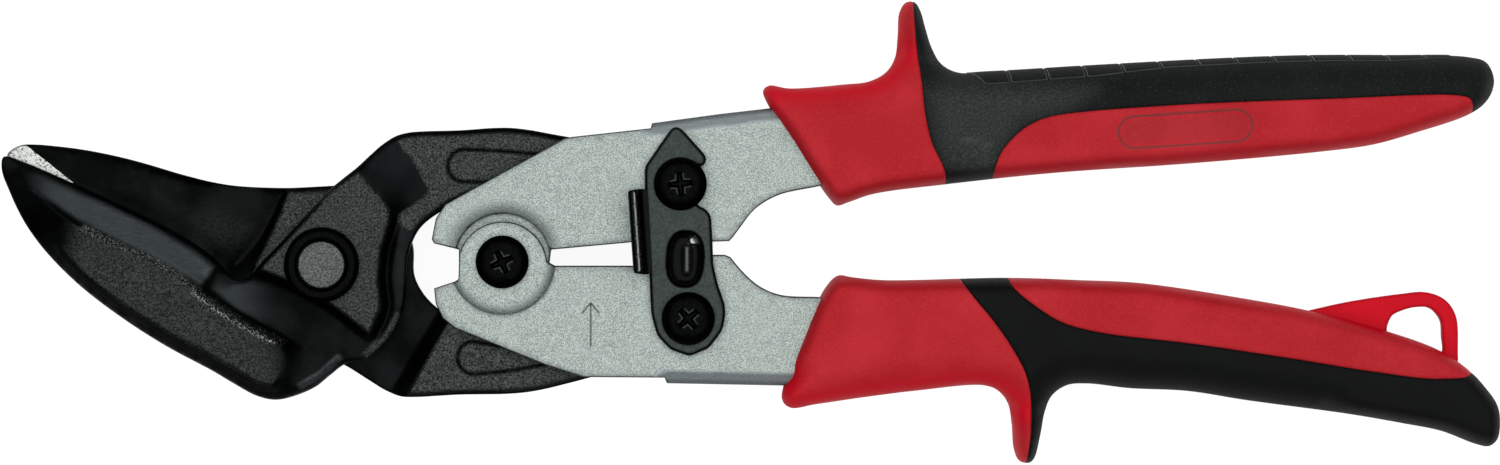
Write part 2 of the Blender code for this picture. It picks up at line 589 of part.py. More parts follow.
def hang_loop():
    """A flat eye beside the rear end of the lower grip, with a thinner foot let into the grip."""
    top = rounded([(97, -14.4), (104.7, -12.1), (114, -10.7), (118.2, -10.4), (121.5, -11.7), (123.4, -14.5),
                   (123.8, -22)], 3, closed=False)
    foot = [(123.6, -24.6), (119.5, -22.6), (111, -19.4), (97, -15.6)]
    eye = rounded([(111.5, -17.5), (112.2, -14.6), (114, -13.6), (116.4, -13), (118.9, -13.2), (120.7, -15.2),
                   (121, -18), (121, -20.9), (116, -19.1)], 2.5)
    shoulder = [(95, -12.4), (101, -13.8), (106, -15.1), (111.7, -16.7), (116, -18.1), (120.6, -19.9), (126, -23)]
    let_in = shoulder + [(126, -27), (95, -19)]
    step = 0.05

    def half(points):
        share = np.where(inside(points, let_in), 0, np.clip(distance(points, let_in) / step, 0, 1))
        return LOOP_FOOT_HALF + (LOOP_HALF - LOOP_FOOT_HALF) * share

    lines = [shoulder, moved_in(let_in, -step)[:len(shoulder)]]
    mesh = relief_mesh("hang_loop", top + foot, half, lambda p: -half(p), [eye], lines)
    place("hang_loop", mesh, PLASTIC_RED)
    room = [(90, -13), (100, -9), (118, -6), (127, -10), (125, -26), (119.5, -23.2), (111, -19.9), (96.6, -16)]
    return slab("hang_loop_slot", room, -LOOP_FOOT_HALF - GAP, LOOP_FOOT_HALF + GAP)


# ---------------------------------------------------------------- fasteners, latch and springs


def pan_screw(name, axis, seat, tip, neck=None):
    """A pan head screw with a crossed recess. A neck, where given, is turned thinner below the head."""
    top = seat + SCREW_HEAD_HEIGHT
    profile = [(0, top), (2.2, top - 0.05), (3.6, top - 0.5), (4.3, top - 1.2), (SCREW_HEAD_R, top - 2),
               (SCREW_HEAD_R, seat)]
    if neck:
        profile += [(LATCH_NECK_R, seat), (LATCH_NECK_R, neck), (SCREW_R, neck)]
    else:
        profile += [(SCREW_R, seat)]
    profile += [(SCREW_R, tip + 0.5), (SCREW_R - 0.5, tip), (0, tip)]
    screw = turned(name, axis, profile, STEEL_DARK)
    x, y = axis
    for turn, (w, h) in enumerate(((2.1, 0.45), (0.45, 2.1))):
        corners = [(x - w, y - h), (x + w, y - h), (x + w, y + h), (x - w, y + h)]
        combine(screw, "DIFFERENCE", slab(f"{name}_recess_{turn}", corners, top - 1.5, top + 1))
    return screw


def hex_nut(name, axis, top):
    corner_r = NUT_ACROSS_FLATS / math.sqrt(3)
    slab(name, circle(axis, corner_r, 6), top - NUT_HEIGHT, top, STEEL_DARK, [circle(axis, SCREW_HOLE_R)])


def neck_path():
    """Where the neck of the upper link screw goes, as the latch sees it, while the handles open."""
    px, py = HANDLE_PIVOT
    lx, ly = LOWER_LINK
    path = []
    for degrees in np.linspace(0, LATCH_FREE_DEG, 9):
        a = math.radians(degrees)
        dx, dy = UPPER_LINK[0] - px, UPPER_LINK[1] - py
        x = px + dx * math.cos(a) - dy * math.sin(a)
        y = py + dx * math.sin(a) + dy * math.cos(a)
        b = -a * LATCH_RATIO
        dx, dy = x - lx, y - ly
        path.append((lx + dx * math.cos(b) - dy * math.sin(b), ly + dx * math.sin(b) + dy * math.cos(b)))
    return path


def latch():
    """The hook plate: window, thumb flange, and a mouth cleared along the path of the screw's neck."""
    hook = [(-7.6, 11.4), (-7, 12.6), (-7.3, 13.4), (-11.6, 18.1), (-12.4, 18.4), (-13.2, 18), (-17.8, 11.4),
            (-17.8, 8)]
    foot = [(-17, -7.4), (-16.7, -14.1), (-15.7, -17.8), (-13.4, -20.3), (-10, -21.5), (-6.6, -20),
            (-4.3, -16.9), (-3.8, -14.4), (-3.9, -12.6), (-5.2, -8.7), (-5.9, -5.6), (-6.05, -1.3), (-6.3, 2.9),
            (-7.2, 4.1), (-8.5, 4.6)]
    mouth = arc(UPPER_LINK, 3.4, -50, -290, 12)
    window = []
    for a in np.radians(np.arange(0, 360, 20)):
        x, y = 2.9 * math.cos(a), 4.5 * math.sin(a)
        window.append((-10.8 + x + 0.05 * y, -4.6 + y - 0.05 * x))
    plate = slab("latch", hook + foot + mouth, LATCH_BACK, LATCH_FACE, STEEL_DARK,
                 [window, circle(LOWER_LINK, SCREW_HOLE_R)])
    path = np.array(neck_path())
    along = np.gradient(path, axis=0)
    side = np.stack([-along[:, 1], along[:, 0]], axis=1)
    side *= (LATCH_NECK_R + GAP) / np.linalg.norm(side, axis=1)[:, None]
    sweep = [tuple(p) for p in path + side] + [tuple(p) for p in (path - side)[::-1]]
    combine(plate, "DIFFERENCE", slab("latch_neck_sweep", sweep, LATCH_BACK - 1, LATCH_FACE + 1))
    flange = [(-18.4, 7.5), (-20.7, 7.2), (-19.7, -7), (-17.4, -7.2), (-16.6, -6.8), (-17.4, 7.3)]
    combine(plate, "UNION", slab("latch_bend", flange, LATCH_BACK + 0.02, LATCH_FACE + 0.4))
    thumb = [(-18.9, 7.4), (-20.7, 7.2), (-19.7, -7), (-17.9, -7.2)]
    combine(plate, "UNION", slab("latch_thumb_flange", thumb, LATCH_BACK + 0.3, LATCH_FLANGE_TOP))
    return plate


def springs():
    """The hairpin that opens the handles, and the wire that holds the latch."""
    bend_r = 4.7
    px, py = HANDLE_PIVOT
    bend = [(px + bend_r * math.cos(a), py + bend_r * math.sin(a), 0) for a in np.radians(range(100, 266, 15))]
    path = [(-20, 1, 0), (-30, 0.6, 0), *bend, (-30, -9.8, 0), (-20, -8.4, 0)]
    wire("return_spring", path, 0.8, STEEL_GREY)
    rod = [(-10.9, -2.6, 2), (-10.9, -6.2, 2)]
    turn = [(-9.85 + 1.05 * math.cos(a), -6.2 + 1.05 * math.sin(a), 2) for a in np.radians(range(200, 361, 32))]
    end = [(-8.8, -3, 2), (-8.8, -2.75, 2.6), (-8.8, -2.75, CHEEK_FACE - 0.1)]
    wire("latch_spring", rod + turn + end, 0.6, STEEL_GREY)


def fasteners():
    back = -CHEEK_FACE - GAP
    bolt = [(0, 8), (BOLT_R - 0.3, 8), (BOLT_R, 7.7), (BOLT_R, -7.7), (7, -7.7), (7, -9.2), (6.2, -9.8), (0, -9.8)]
    turned("blade_bolt", BLADE_PIVOT, bolt, STEEL_GREY, 32)
    nut = [(BOLT_HOLE_R, 8), (5.6, 8), (COLLAR_R, 7.3), (COLLAR_R, HUB_FACE + GAP), (BOLT_HOLE_R, HUB_FACE + GAP)]
    turned("blade_nut", BLADE_PIVOT, nut, STEEL_DARK, 32)
    ring("blade_washer", BLADE_PIVOT, BOLT_HOLE_R, 7.2, -7.4, -HUB_FACE - GAP, STEEL_DARK, 32)
    seat = LATCH_FACE + GAP
    pan_screw("handle_pivot_screw", HANDLE_PIVOT, LOWER_DISC_FACE + GAP, -8.2)
    pan_screw("upper_link_screw", UPPER_LINK, seat, -8.6, neck=CHEEK_FACE + 0.1)
    pan_screw("lower_link_screw", LOWER_LINK, seat, -8.6)
    hex_nut("handle_pivot_nut", HANDLE_PIVOT, -LOWER_DISC_FACE - GAP)
    hex_nut("upper_link_nut", UPPER_LINK, back)
    hex_nut("lower_link_nut", LOWER_LINK, back)
    room = UPPER_DISC_FACE - SHEET - 0.2
    ring("handle_pivot_sleeve", HANDLE_PIVOT, SCREW_HOLE_R, 3.6, -room, room, STEEL_GREY)
    ring("upper_link_sleeve", UPPER_LINK, SCREW_HOLE_R, SLEEVE_R, -SLEEVE_HALF, SLEEVE_HALF, STEEL_GREY)
    ring("lower_link_sleeve", LOWER_LINK, SCREW_HOLE_R, SLEEVE_R, -SLEEVE_HALF, SLEEVE_HALF, STEEL_GREY)


# ---------------------------------------------------------------- assembly


def hang_on(axis_name, axis, names):
    """Parent pieces to an empty on their joint's axis, leaving them where they are."""
    bpy.context.view_layer.update()
    empty = bpy.data.objects.new(axis_name, None)
    empty.location = drawn(*axis, 0)
    PARTS.objects.link(empty)
    for name in names:
        piece = bpy.data.objects[name]
        piece.parent = empty
        piece.location = piece.location - empty.location


lower_jaw()
upper_blade()
upper_handle()
lower_handle()
grip("upper", UPPER_GRIP, UPPER_COVER, UPPER_WEB, UPPER_INSIDE)
grip("lower", LOWER_GRIP, LOWER_COVER, LOWER_WEB, LOWER_INSIDE, hang_loop())
fasteners()
latch()
springs()
hang_on("blade_axis", BLADE_PIVOT, ["lower_jaw"])
hang_on("lower_link_axis", LOWER_LINK, ["upper_blade", "blade_bolt", "blade_nut", "blade_washer", "latch"])
hang_on("handle_axis", HANDLE_PIVOT, ["upper_handle", "upper_grip_body", "upper_grip_cover", "upper_link_screw",
                                      "upper_link_sleeve", "upper_link_nut"])
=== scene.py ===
"""The looks of the offset aviation snips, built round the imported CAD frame.

Plan positions and heights are in millimetres in the CAD's drawing: x = 0 lies CENTRE_X left of the middle
of the tool, z = 0 is the plane between the blades, and drawn() turns them into the frame's metres. Every
piece stands for one CAD node and rides on its body.
"""

import json
import math

import bpy
import numpy as np
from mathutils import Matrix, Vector
from mathutils.geometry import delaunay_2d_cdt


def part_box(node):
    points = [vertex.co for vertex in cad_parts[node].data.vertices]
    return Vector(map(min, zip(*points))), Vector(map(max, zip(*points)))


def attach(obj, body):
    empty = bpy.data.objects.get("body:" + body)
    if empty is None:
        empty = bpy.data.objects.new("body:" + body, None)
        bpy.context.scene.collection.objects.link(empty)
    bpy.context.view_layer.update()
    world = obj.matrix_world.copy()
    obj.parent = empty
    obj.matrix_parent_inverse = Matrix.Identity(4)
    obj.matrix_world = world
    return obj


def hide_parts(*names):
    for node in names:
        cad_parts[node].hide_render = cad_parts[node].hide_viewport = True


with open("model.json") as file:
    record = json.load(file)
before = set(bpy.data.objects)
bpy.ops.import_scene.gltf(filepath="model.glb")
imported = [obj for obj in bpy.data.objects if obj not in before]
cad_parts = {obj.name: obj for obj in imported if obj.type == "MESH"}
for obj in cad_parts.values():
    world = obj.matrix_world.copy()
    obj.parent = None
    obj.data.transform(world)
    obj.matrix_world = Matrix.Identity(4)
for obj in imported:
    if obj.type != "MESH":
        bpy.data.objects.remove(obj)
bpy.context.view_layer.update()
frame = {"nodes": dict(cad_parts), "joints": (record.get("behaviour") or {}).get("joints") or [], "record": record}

MM = 0.001
CENTRE_X = 0.5
GRIP_HALF = 10.0  # half a grip's height, so the plane between the blades lies this far above the floor
TINY = 1e-9
LINE_STEP = 0.4


def pivot_of(joint):
    """A joint's place in plan, in the drawing's millimetres."""
    found = next(j for j in frame["joints"] if j["name"] == joint)
    x, y, _ = found["pos_m"]
    return np.array([x / MM + CENTRE_X, y / MM])


BLADE_PIVOT = pivot_of("blade_pivot")
HANDLE_PIVOT = pivot_of("handle_pivot")
LOWER_LINK = pivot_of("lower_link_pivot")
UPPER_LINK = np.array((sum(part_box("upper_link_sleeve"), Vector()) / 2 / MM)[:2]) + [CENTRE_X, 0]


# ---------------------------------------------------------------- lines and distances


def parts_between(a, b, step):
    """How many parts of about a step fit between two points in plan."""
    return max(1, round(float(np.linalg.norm((b - a)[:2])) / step))


def smooth_line(points, step=LINE_STEP, closed=False):
    """A centripetal Catmull-Rom curve through points of two or three values, with a point every step."""
    points = [np.array(p, float) for p in points]
    count = len(points)
    line = []
    for i in range(count if closed else count - 1):
        near, far = points[i], points[(i + 1) % count]
        before = points[i - 1] if closed or i else near - (far - near)
        after = points[(i + 2) % count] if closed or i + 2 < count else far + (far - near)
        quad = [before, near, far, after]
        spans = [max(np.linalg.norm((b - a)[:2]), 1e-6) ** 0.5 for a, b in zip(quad, quad[1:])]
        knots = np.cumsum([0, *spans])
        for t in np.linspace(knots[1], knots[2], parts_between(near, far, step), endpoint=False):
            line.append(on_curve(quad, knots, t))
    if not closed:
        line.append(points[-1])
    return np.array(line)


def on_curve(quad, knots, t):
    """The place at t on the curve between the middle two of four points."""

    def mix(a, b, low, high):
        return ((high - t) * a + (t - low) * b) / (high - low)

    first = mix(quad[0], quad[1], knots[0], knots[1])
    middle = mix(quad[1], quad[2], knots[1], knots[2])
    last = mix(quad[2], quad[3], knots[2], knots[3])
    before = mix(first, middle, knots[0], knots[2])
    after = mix(middle, last, knots[1], knots[3])
    return mix(before, after, knots[1], knots[2])


def straight_line(points, step=LINE_STEP, closed=False):
    """Straight runs between points, with a point about every step."""
    points = [np.array(p, float) for p in points]
    ends = points[1:] + points[:1] if closed else points[1:]
    line = []
    for a, b in zip(points, ends):
        line += [a + (b - a) * t for t in np.linspace(0, 1, parts_between(a, b, step), endpoint=False)]
    if not closed:
        line.append(points[-1])
    return np.array(line)


def circle(centre, radius, steps=72):
    """A closed circle in plan."""
    angles = np.linspace(0, 2 * math.pi, steps, endpoint=False)
    return np.stack([centre[0] + radius * np.cos(angles), centre[1] + radius * np.sin(angles)], axis=1)


def arc(centre, radius, start_deg, end_deg, steps):
    """Points along part of a circle in plan, with both ends."""
    angles = np.radians(np.linspace(start_deg, end_deg, steps + 1))
    return [(centre[0] + radius * math.cos(a), centre[1] + radius * math.sin(a)) for a in angles]


def turned_about(centre, points, turn_deg):
    """Points drawn about the origin, turned and moved to a centre."""
    a = math.radians(turn_deg)
    cos, sin = math.cos(a), math.sin(a)
    return [(centre[0] + x * cos - y * sin, centre[1] + x * sin + y * cos) for x, y in points]


def lifted(points, height):
    """Plan points, all at one height."""
    return [(*point, height) for point in points]


def closed_path(loop):
    """A loop as a path that ends on its first point."""
    return np.concatenate([loop, loop[:1]])


def inside(points, loop):
    """Whether each point is inside a loop, by counting the sides to its right."""
    nxt = np.roll(loop, -1, axis=0)
    x, y = points[:, 0, None], points[:, 1, None]
    crosses = (loop[:, 1] > y) != (nxt[:, 1] > y)
    rise = np.where(nxt[:, 1] == loop[:, 1], 1.0, nxt[:, 1] - loop[:, 1])
    at_x = loop[:, 0] + (y - loop[:, 1]) / rise * (nxt[:, 0] - loop[:, 0])
    return (crosses & (x < at_x)).sum(axis=1) % 2 == 1


POINTS_AT_ONCE = 1500


def nearest(points, line, closed=True):
    """For each point, how far the line is and the line's height there (0 for a line in plan)."""
    line = np.asarray(line, float)
    ends = np.roll(line, -1, axis=0) if closed else line[1:]
    starts = line if closed else line[:-1]
    along = (ends - starts)[:, :2]
    squared = np.maximum((along**2).sum(axis=1), 1e-12)
    far, height = [], []
    for some in np.array_split(points, len(points) // POINTS_AT_ONCE + 1):
        offset = some[:, None, :2] - starts[:, :2]
        share = np.clip((offset * along).sum(axis=2) / squared, 0, 1)
        gap = ((offset - share[..., None] * along) ** 2).sum(axis=2)
        best = gap.argmin(axis=1)
        row = np.arange(len(some))
        far.append(np.sqrt(gap[row, best]))
        if line.shape[1] == 3:
            lift = starts[best, 2] + share[row, best] * (ends[best, 2] - starts[best, 2])
            height.append(lift)
    return np.concatenate(far), np.concatenate(height) if height else 0


def distance(points, line, closed=True):
    """For each point, how far the line is in plan."""
    return nearest(points, line, closed)[0]


def depth_in(points, loop):
    """Distance from a loop, positive inside it and negative outside."""
    return np.where(inside(points, loop[:, :2]), 1, -1) * distance(points, loop)


def leftward(along):
    """Unit vectors in plan, to the left of each heading."""
    normal = np.stack([-along[:, 1], along[:, 0]], axis=1)
    return normal / np.maximum(np.linalg.norm(normal, axis=1), TINY)[:, None]


def moved_in(loop, depth):
    """A loop moved inwards by depth (outwards if negative), point by point."""
    normal = leftward(np.roll(loop, -1, axis=0) - np.roll(loop, 1, axis=0))
    turn = np.sign((loop[:, 0] * np.roll(loop[:, 1], -1) - np.roll(loop[:, 0], -1) * loop[:, 1]).sum())
    return loop[:, :2] + turn * normal * depth


def eased(x):
    """0 up to x = 0, 1 from x = 1, and smooth between."""
    t = np.clip(x, 0, 1)
    return t * t * (3 - 2 * t)


def rounding(depth, radius):
    """How far an edge rounded to a radius lies below its face, at a depth in from the edge."""
    short = np.clip(radius - depth, 0, radius)
    return radius - np.sqrt(radius**2 - short**2)


LEAST_UP = 0.05  # of the height of a face's unit normal
MOST_WALL_TILT = 0.02
FEWEST_IN_LOOP = 6


def rim_of(node, side=1):
    """The outlines of a CAD node in plan with the height of its upper (or lower) rim, the outside first."""
    mesh = frame["nodes"][node].data
    mesh.calc_loop_triangles()
    corners = np.array([v.co for v in mesh.vertices])
    faces = np.array([t.vertices for t in mesh.loop_triangles])
    spots, index = np.unique(np.round(corners / MM, 3), axis=0, return_inverse=True)
    faces = index.reshape(-1)[faces]
    sides = spots[faces]
    normal = np.cross(sides[:, 1] - sides[:, 0], sides[:, 2] - sides[:, 0])
    tilt = side * normal[:, 2] / np.maximum(np.linalg.norm(normal, axis=1), 1e-12)
    upper = {}  # a dict and not a set, because it keeps its order
    wall = set()
    for face, up in zip(faces.tolist(), tilt):
        for a, b in zip(face, face[1:] + face[:1]):
            if up > LEAST_UP:
                upper[(a, b)] = True
            elif abs(up) < MOST_WALL_TILT:
                wall.add((b, a))
    follows = {a: b for a, b in upper if (a, b) in wall}
    loops = []
    while follows:
        start, spot = follows.popitem()
        loop = [start]
        while spot != start and spot in follows:
            loop.append(spot)
            spot = follows.pop(spot)
        loops.append(spots[loop] + [CENTRE_X, 0, -GRIP_HALF])
    whole = [loop for loop in loops if len(loop) >= FEWEST_IN_LOOP]
    return sorted(whole, key=lambda loop: -np.ptp(loop[:, 0]) * np.ptp(loop[:, 1]))


# ---------------------------------------------------------------- solids


def drawn(points):
    """World places, in metres, of points of the drawing."""
    return (np.asarray(points, float) - [CENTRE_X, 0, -GRIP_HALF]) * MM


def within(points, loops):
    """Whether each point is inside the first loop and outside the others."""
    kept = inside(points, loops[0][:, :2])
    for hole in loops[1:]:
        kept &= ~inside(points, hole[:, :2])
    return kept


def spread(loops, spacing, clear):
    """A triangular grid of points inside the first loop and outside the others, clear of all of them."""
    low, high = loops[0][:, :2].min(axis=0), loops[0][:, :2].max(axis=0)
    rows = np.arange(low[1], high[1], spacing * math.sqrt(3) / 2)
    columns = np.arange(low[0], high[0], spacing)
    grid = np.array([(x + (i % 2) * spacing / 2, y) for i, y in enumerate(rows) for x in columns])
    grid = grid[within(grid, loops)]
    for loop in loops:
        grid = grid[distance(grid, loop) > clear]
    return grid


RING_CLEAR = 0.5  # how far the grid keeps from the rings and lines, of its spacing
LINE_CLEAR = 0.4
RING_KEEPS = 0.96  # a ring's point that is nearer to an edge than this share of its depth is dropped


def triangulated(loops, spacing, rings=(), lines=(), free=()):
    """Plan points and triangles over loops (the first outside, the rest holes), breaking along lines.

    Each ring is a row of points that far in from every loop, and free holds further points.
    """
    loops = [np.asarray(loop, float) for loop in loops]
    lines = [np.asarray(line, float) for line in lines]
    corners, edges = [], []
    for path, closed in [(loop, True) for loop in loops] + [(line, False) for line in lines]:
        start, count = len(corners), len(path)
        corners += path[:, :2].tolist()
        edges += [(start + i, start + (i + 1) % count) for i in range(count if closed else count - 1)]
    grid = spread(loops, spacing, max(rings, default=0) + spacing * RING_CLEAR)
    for line in lines:
        grid = grid[distance(grid, line, closed=False) > spacing * LINE_CLEAR]
    extra = [grid]
    for number, loop in enumerate(loops):
        for depth in rings:
            ring = moved_in(loop, depth if number == 0 else -depth)
            for other in loops:
                ring = ring[distance(ring, other) > depth * RING_KEEPS]
            extra.append(ring[inside(ring, loops[0][:, :2])])
    for some in free:
        some = np.asarray(some, float)[:, :2]
        extra.append(some[inside(some, loops[0][:, :2])])
    corners += np.concatenate(extra).tolist()
    found = delaunay_2d_cdt([Vector(p) for p in corners], edges, [], 0, 1e-4)
    flat = np.array([tuple(p) for p in found[0]])
    faces = np.array(found[2])
    return flat, faces[within(flat[faces].mean(axis=1), loops)]


def sides_of(faces):
    """The sides of every triangle, each in its triangle's own direction."""
    return np.concatenate([faces[:, [0, 1]], faces[:, [1, 2]], faces[:, [2, 0]]])


def neighbours(faces, count):
    """How many neighbours each corner of a mesh has, and a function that adds up their values."""
    a, b = np.unique(np.sort(sides_of(faces), axis=1), axis=0).T

    def total(x):
        return np.bincount(a, x[b], count) + np.bincount(b, x[a], count)

    return np.bincount(a, minlength=count) + np.bincount(b, minlength=count), total


FILM_PASSES = 400
FILM_DONE = 1e-8
ON_LINE = 0.02


def stretched(flat, faces, pinned_lines):
    """Heights that follow lines of (x, y, z) and span the rest like a film, by conjugate gradients."""
    height = np.zeros(len(flat))
    pinned = np.zeros(len(flat), bool)
    for line, closed in pinned_lines:
        gap, lift = nearest(flat, line, closed)
        on = gap < ON_LINE
        height[on] = lift[on]
        pinned |= on
    degree, total = neighbours(faces, len(flat))
    loose = ~pinned & (degree > 0)

    def pull(x):
        return np.where(loose, degree * x - total(x), 0)

    height[loose] = height[pinned].mean()
    rest = -pull(height)
    step = rest.copy()
    size = rest @ rest
    for _ in range(FILM_PASSES):
        if size < FILM_DONE:
            break
        pulled = pull(step)
        share = size / (step @ pulled)
        height += share * step
        rest -= share * pulled
        grown = rest @ rest
        step = rest + grown / size * step
        size = grown
    return height


def softened(faces, values, passes, held=None):
    """Values at the corners of a mesh, averaged with their neighbours a few times."""
    degree, total = neighbours(faces, len(values))
    degree = np.maximum(degree, 1)
    for _ in range(passes):
        mixed = (values + total(values) / degree) / 2
        values = mixed if held is None else np.where(held, values, mixed)
    return values


def closed_mesh(flat, faces, high, low, marks=None):
    """Points, faces and marks of the closed form between two heights over a triangulated plan."""
    used, index = np.unique(faces, return_inverse=True)
    faces = index.reshape(-1, 3)
    flat, high, low = flat[used], high[used], low[used]
    side = flat[faces]
    turn = np.cross(side[:, 1] - side[:, 0], side[:, 2] - side[:, 0])
    faces = np.where(turn[:, None] < 0, faces[:, ::-1], faces)
    count = len(flat)
    ends = sides_of(faces)
    key = ends[:, 0] * count + ends[:, 1]
    rim = ends[~np.isin(key, ends[:, 1] * count + ends[:, 0])]
    walls = np.stack([rim[:, 0] + count, rim[:, 1] + count, rim[:, 1], rim[:, 0]], axis=1)
    points = np.concatenate([np.column_stack([flat, high]), np.column_stack([flat, low])])
    every = faces.tolist() + (faces[:, ::-1] + count).tolist() + walls.tolist()
    doubled = {name: np.tile(value[used], 2) for name, value in (marks or {}).items()}
    return points, every, doubled


def piece(name, node, finish, shells, sharp=38):
    """One visible piece made of closed shells of (points, faces, marks), standing for a CAD node."""
    points, faces = [], []
    marks = {}
    for shell in shells:
        start = sum(len(p) for p in points)
        points.append(shell[0])
        faces += [[i + start for i in face] for face in shell[1]]
    for mark in sorted({key for shell in shells for key in shell[2]}):
        parts = [shell[2].get(mark, np.zeros(len(shell[0]))) for shell in shells]
        marks[mark] = np.concatenate(parts)
    mesh = bpy.data.meshes.new(name)
    mesh.from_pydata(drawn(np.concatenate(points)).tolist(), [], faces)
    for mark, values in marks.items():
        mesh.attributes.new(mark, "FLOAT", "POINT").data.foreach_set("value", values.astype(np.float32))
    mesh.validate()
    mesh.materials.append(finish)
    mesh.shade_smooth()
    mesh.set_sharp_from_angle(angle=math.radians(sharp))
    obj = bpy.data.objects.new(name, mesh)
    bpy.context.scene.collection.objects.link(obj)
    body = next(b for b, nodes in frame["record"]["behaviour"]["bodies"].items() if node in nodes)
    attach(obj, body)
    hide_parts(node)


ON_AXIS = 1e-6


def turned(axis, profile, steps=96):
    """A turned form on a vertical axis, from a closed profile of (radius, height)."""
    angles = np.linspace(0, 2 * math.pi, steps, endpoint=False)
    points = [(axis[0] + r * math.cos(a), axis[1] + r * math.sin(a), z) for r, z in profile for a in angles]
    count = len(profile)
    faces = []
    for i in range(count):
        j = (i + 1) % count
        if profile[i][0] < ON_AXIS and profile[j][0] < ON_AXIS:
            continue
        for k in range(steps):
            m = (k + 1) % steps
            ring = [i * steps + k, i * steps + m, j * steps + m, j * steps + k]
            if profile[i][0] < ON_AXIS:
                ring = [i * steps, *ring[2:]]
            elif profile[j][0] < ON_AXIS:
                ring = [*ring[:2], j * steps]
            faces.append(ring)
    return np.array(points), faces, {}


MOST_REACH = 0.45  # of a profile's side that a rounded corner may use


def rounded_profile(corners, radius, steps=4):
    """A closed profile with its corners rounded, leaving those on the axis sharp."""
    made = []
    corners = [np.array(c, float) for c in corners]
    for i, corner in enumerate(corners):
        if corner[0] < ON_AXIS:
            made.append(tuple(corner))
            continue
        back, ahead = corners[i - 1] - corner, corners[(i + 1) % len(corners)] - corner
        reach = min(radius, np.linalg.norm(back) * MOST_REACH, np.linalg.norm(ahead) * MOST_REACH)
        start = corner + back / np.linalg.norm(back) * reach
        end = corner + ahead / np.linalg.norm(ahead) * reach
        for t in np.linspace(0, 1, steps + 1):
            made.append(tuple((1 - t) ** 2 * start + 2 * t * (1 - t) * corner + t * t * end))
    return made


def tube(path, radius, sides=14):
    """A round wire along a path of (x, y, z) with rounded ends."""
    path = np.asarray(path, float)
    along = np.gradient(path, axis=0)
    along /= np.linalg.norm(along, axis=1)[:, None]
    up = np.cross(along[0], [0.3, 0.5, 0.81])  # any direction off the path will do
    centres, frames = [], []
    for i, heading in enumerate(along):
        up = up - heading * (up @ heading)
        up /= np.linalg.norm(up)
        frames.append((up, np.cross(heading, up)))
    cap = [(0.92, 0.4), (0.7, 0.72), (0.38, 0.93)]
    for size, reach in reversed(cap):
        centres.append((path[0] - along[0] * reach * radius, size, frames[0]))
    centres += [(spot, 1, turn) for spot, turn in zip(path, frames)]
    for size, reach in cap:
        centres.append((path[-1] + along[-1] * reach * radius, size, frames[-1]))
    points = []
    for spot, size, (first, second) in centres:
        for a in np.linspace(0, 2 * math.pi, sides, endpoint=False):
            points.append(spot + radius * size * (math.cos(a) * first + math.sin(a) * second))
    rings = len(centres)
    faces = []
    for i in range(rings - 1):
        for k in range(sides):
            m = (k + 1) % sides
            faces.append([i * sides + k, i * sides + m, (i + 1) * sides + m, (i + 1) * sides + k])
    faces.append(list(range(sides))[::-1])
    faces.append([(rings - 1) * sides + k for k in range(sides)])
    return np.array(points), faces, {}


# ---------------------------------------------------------------- finishes


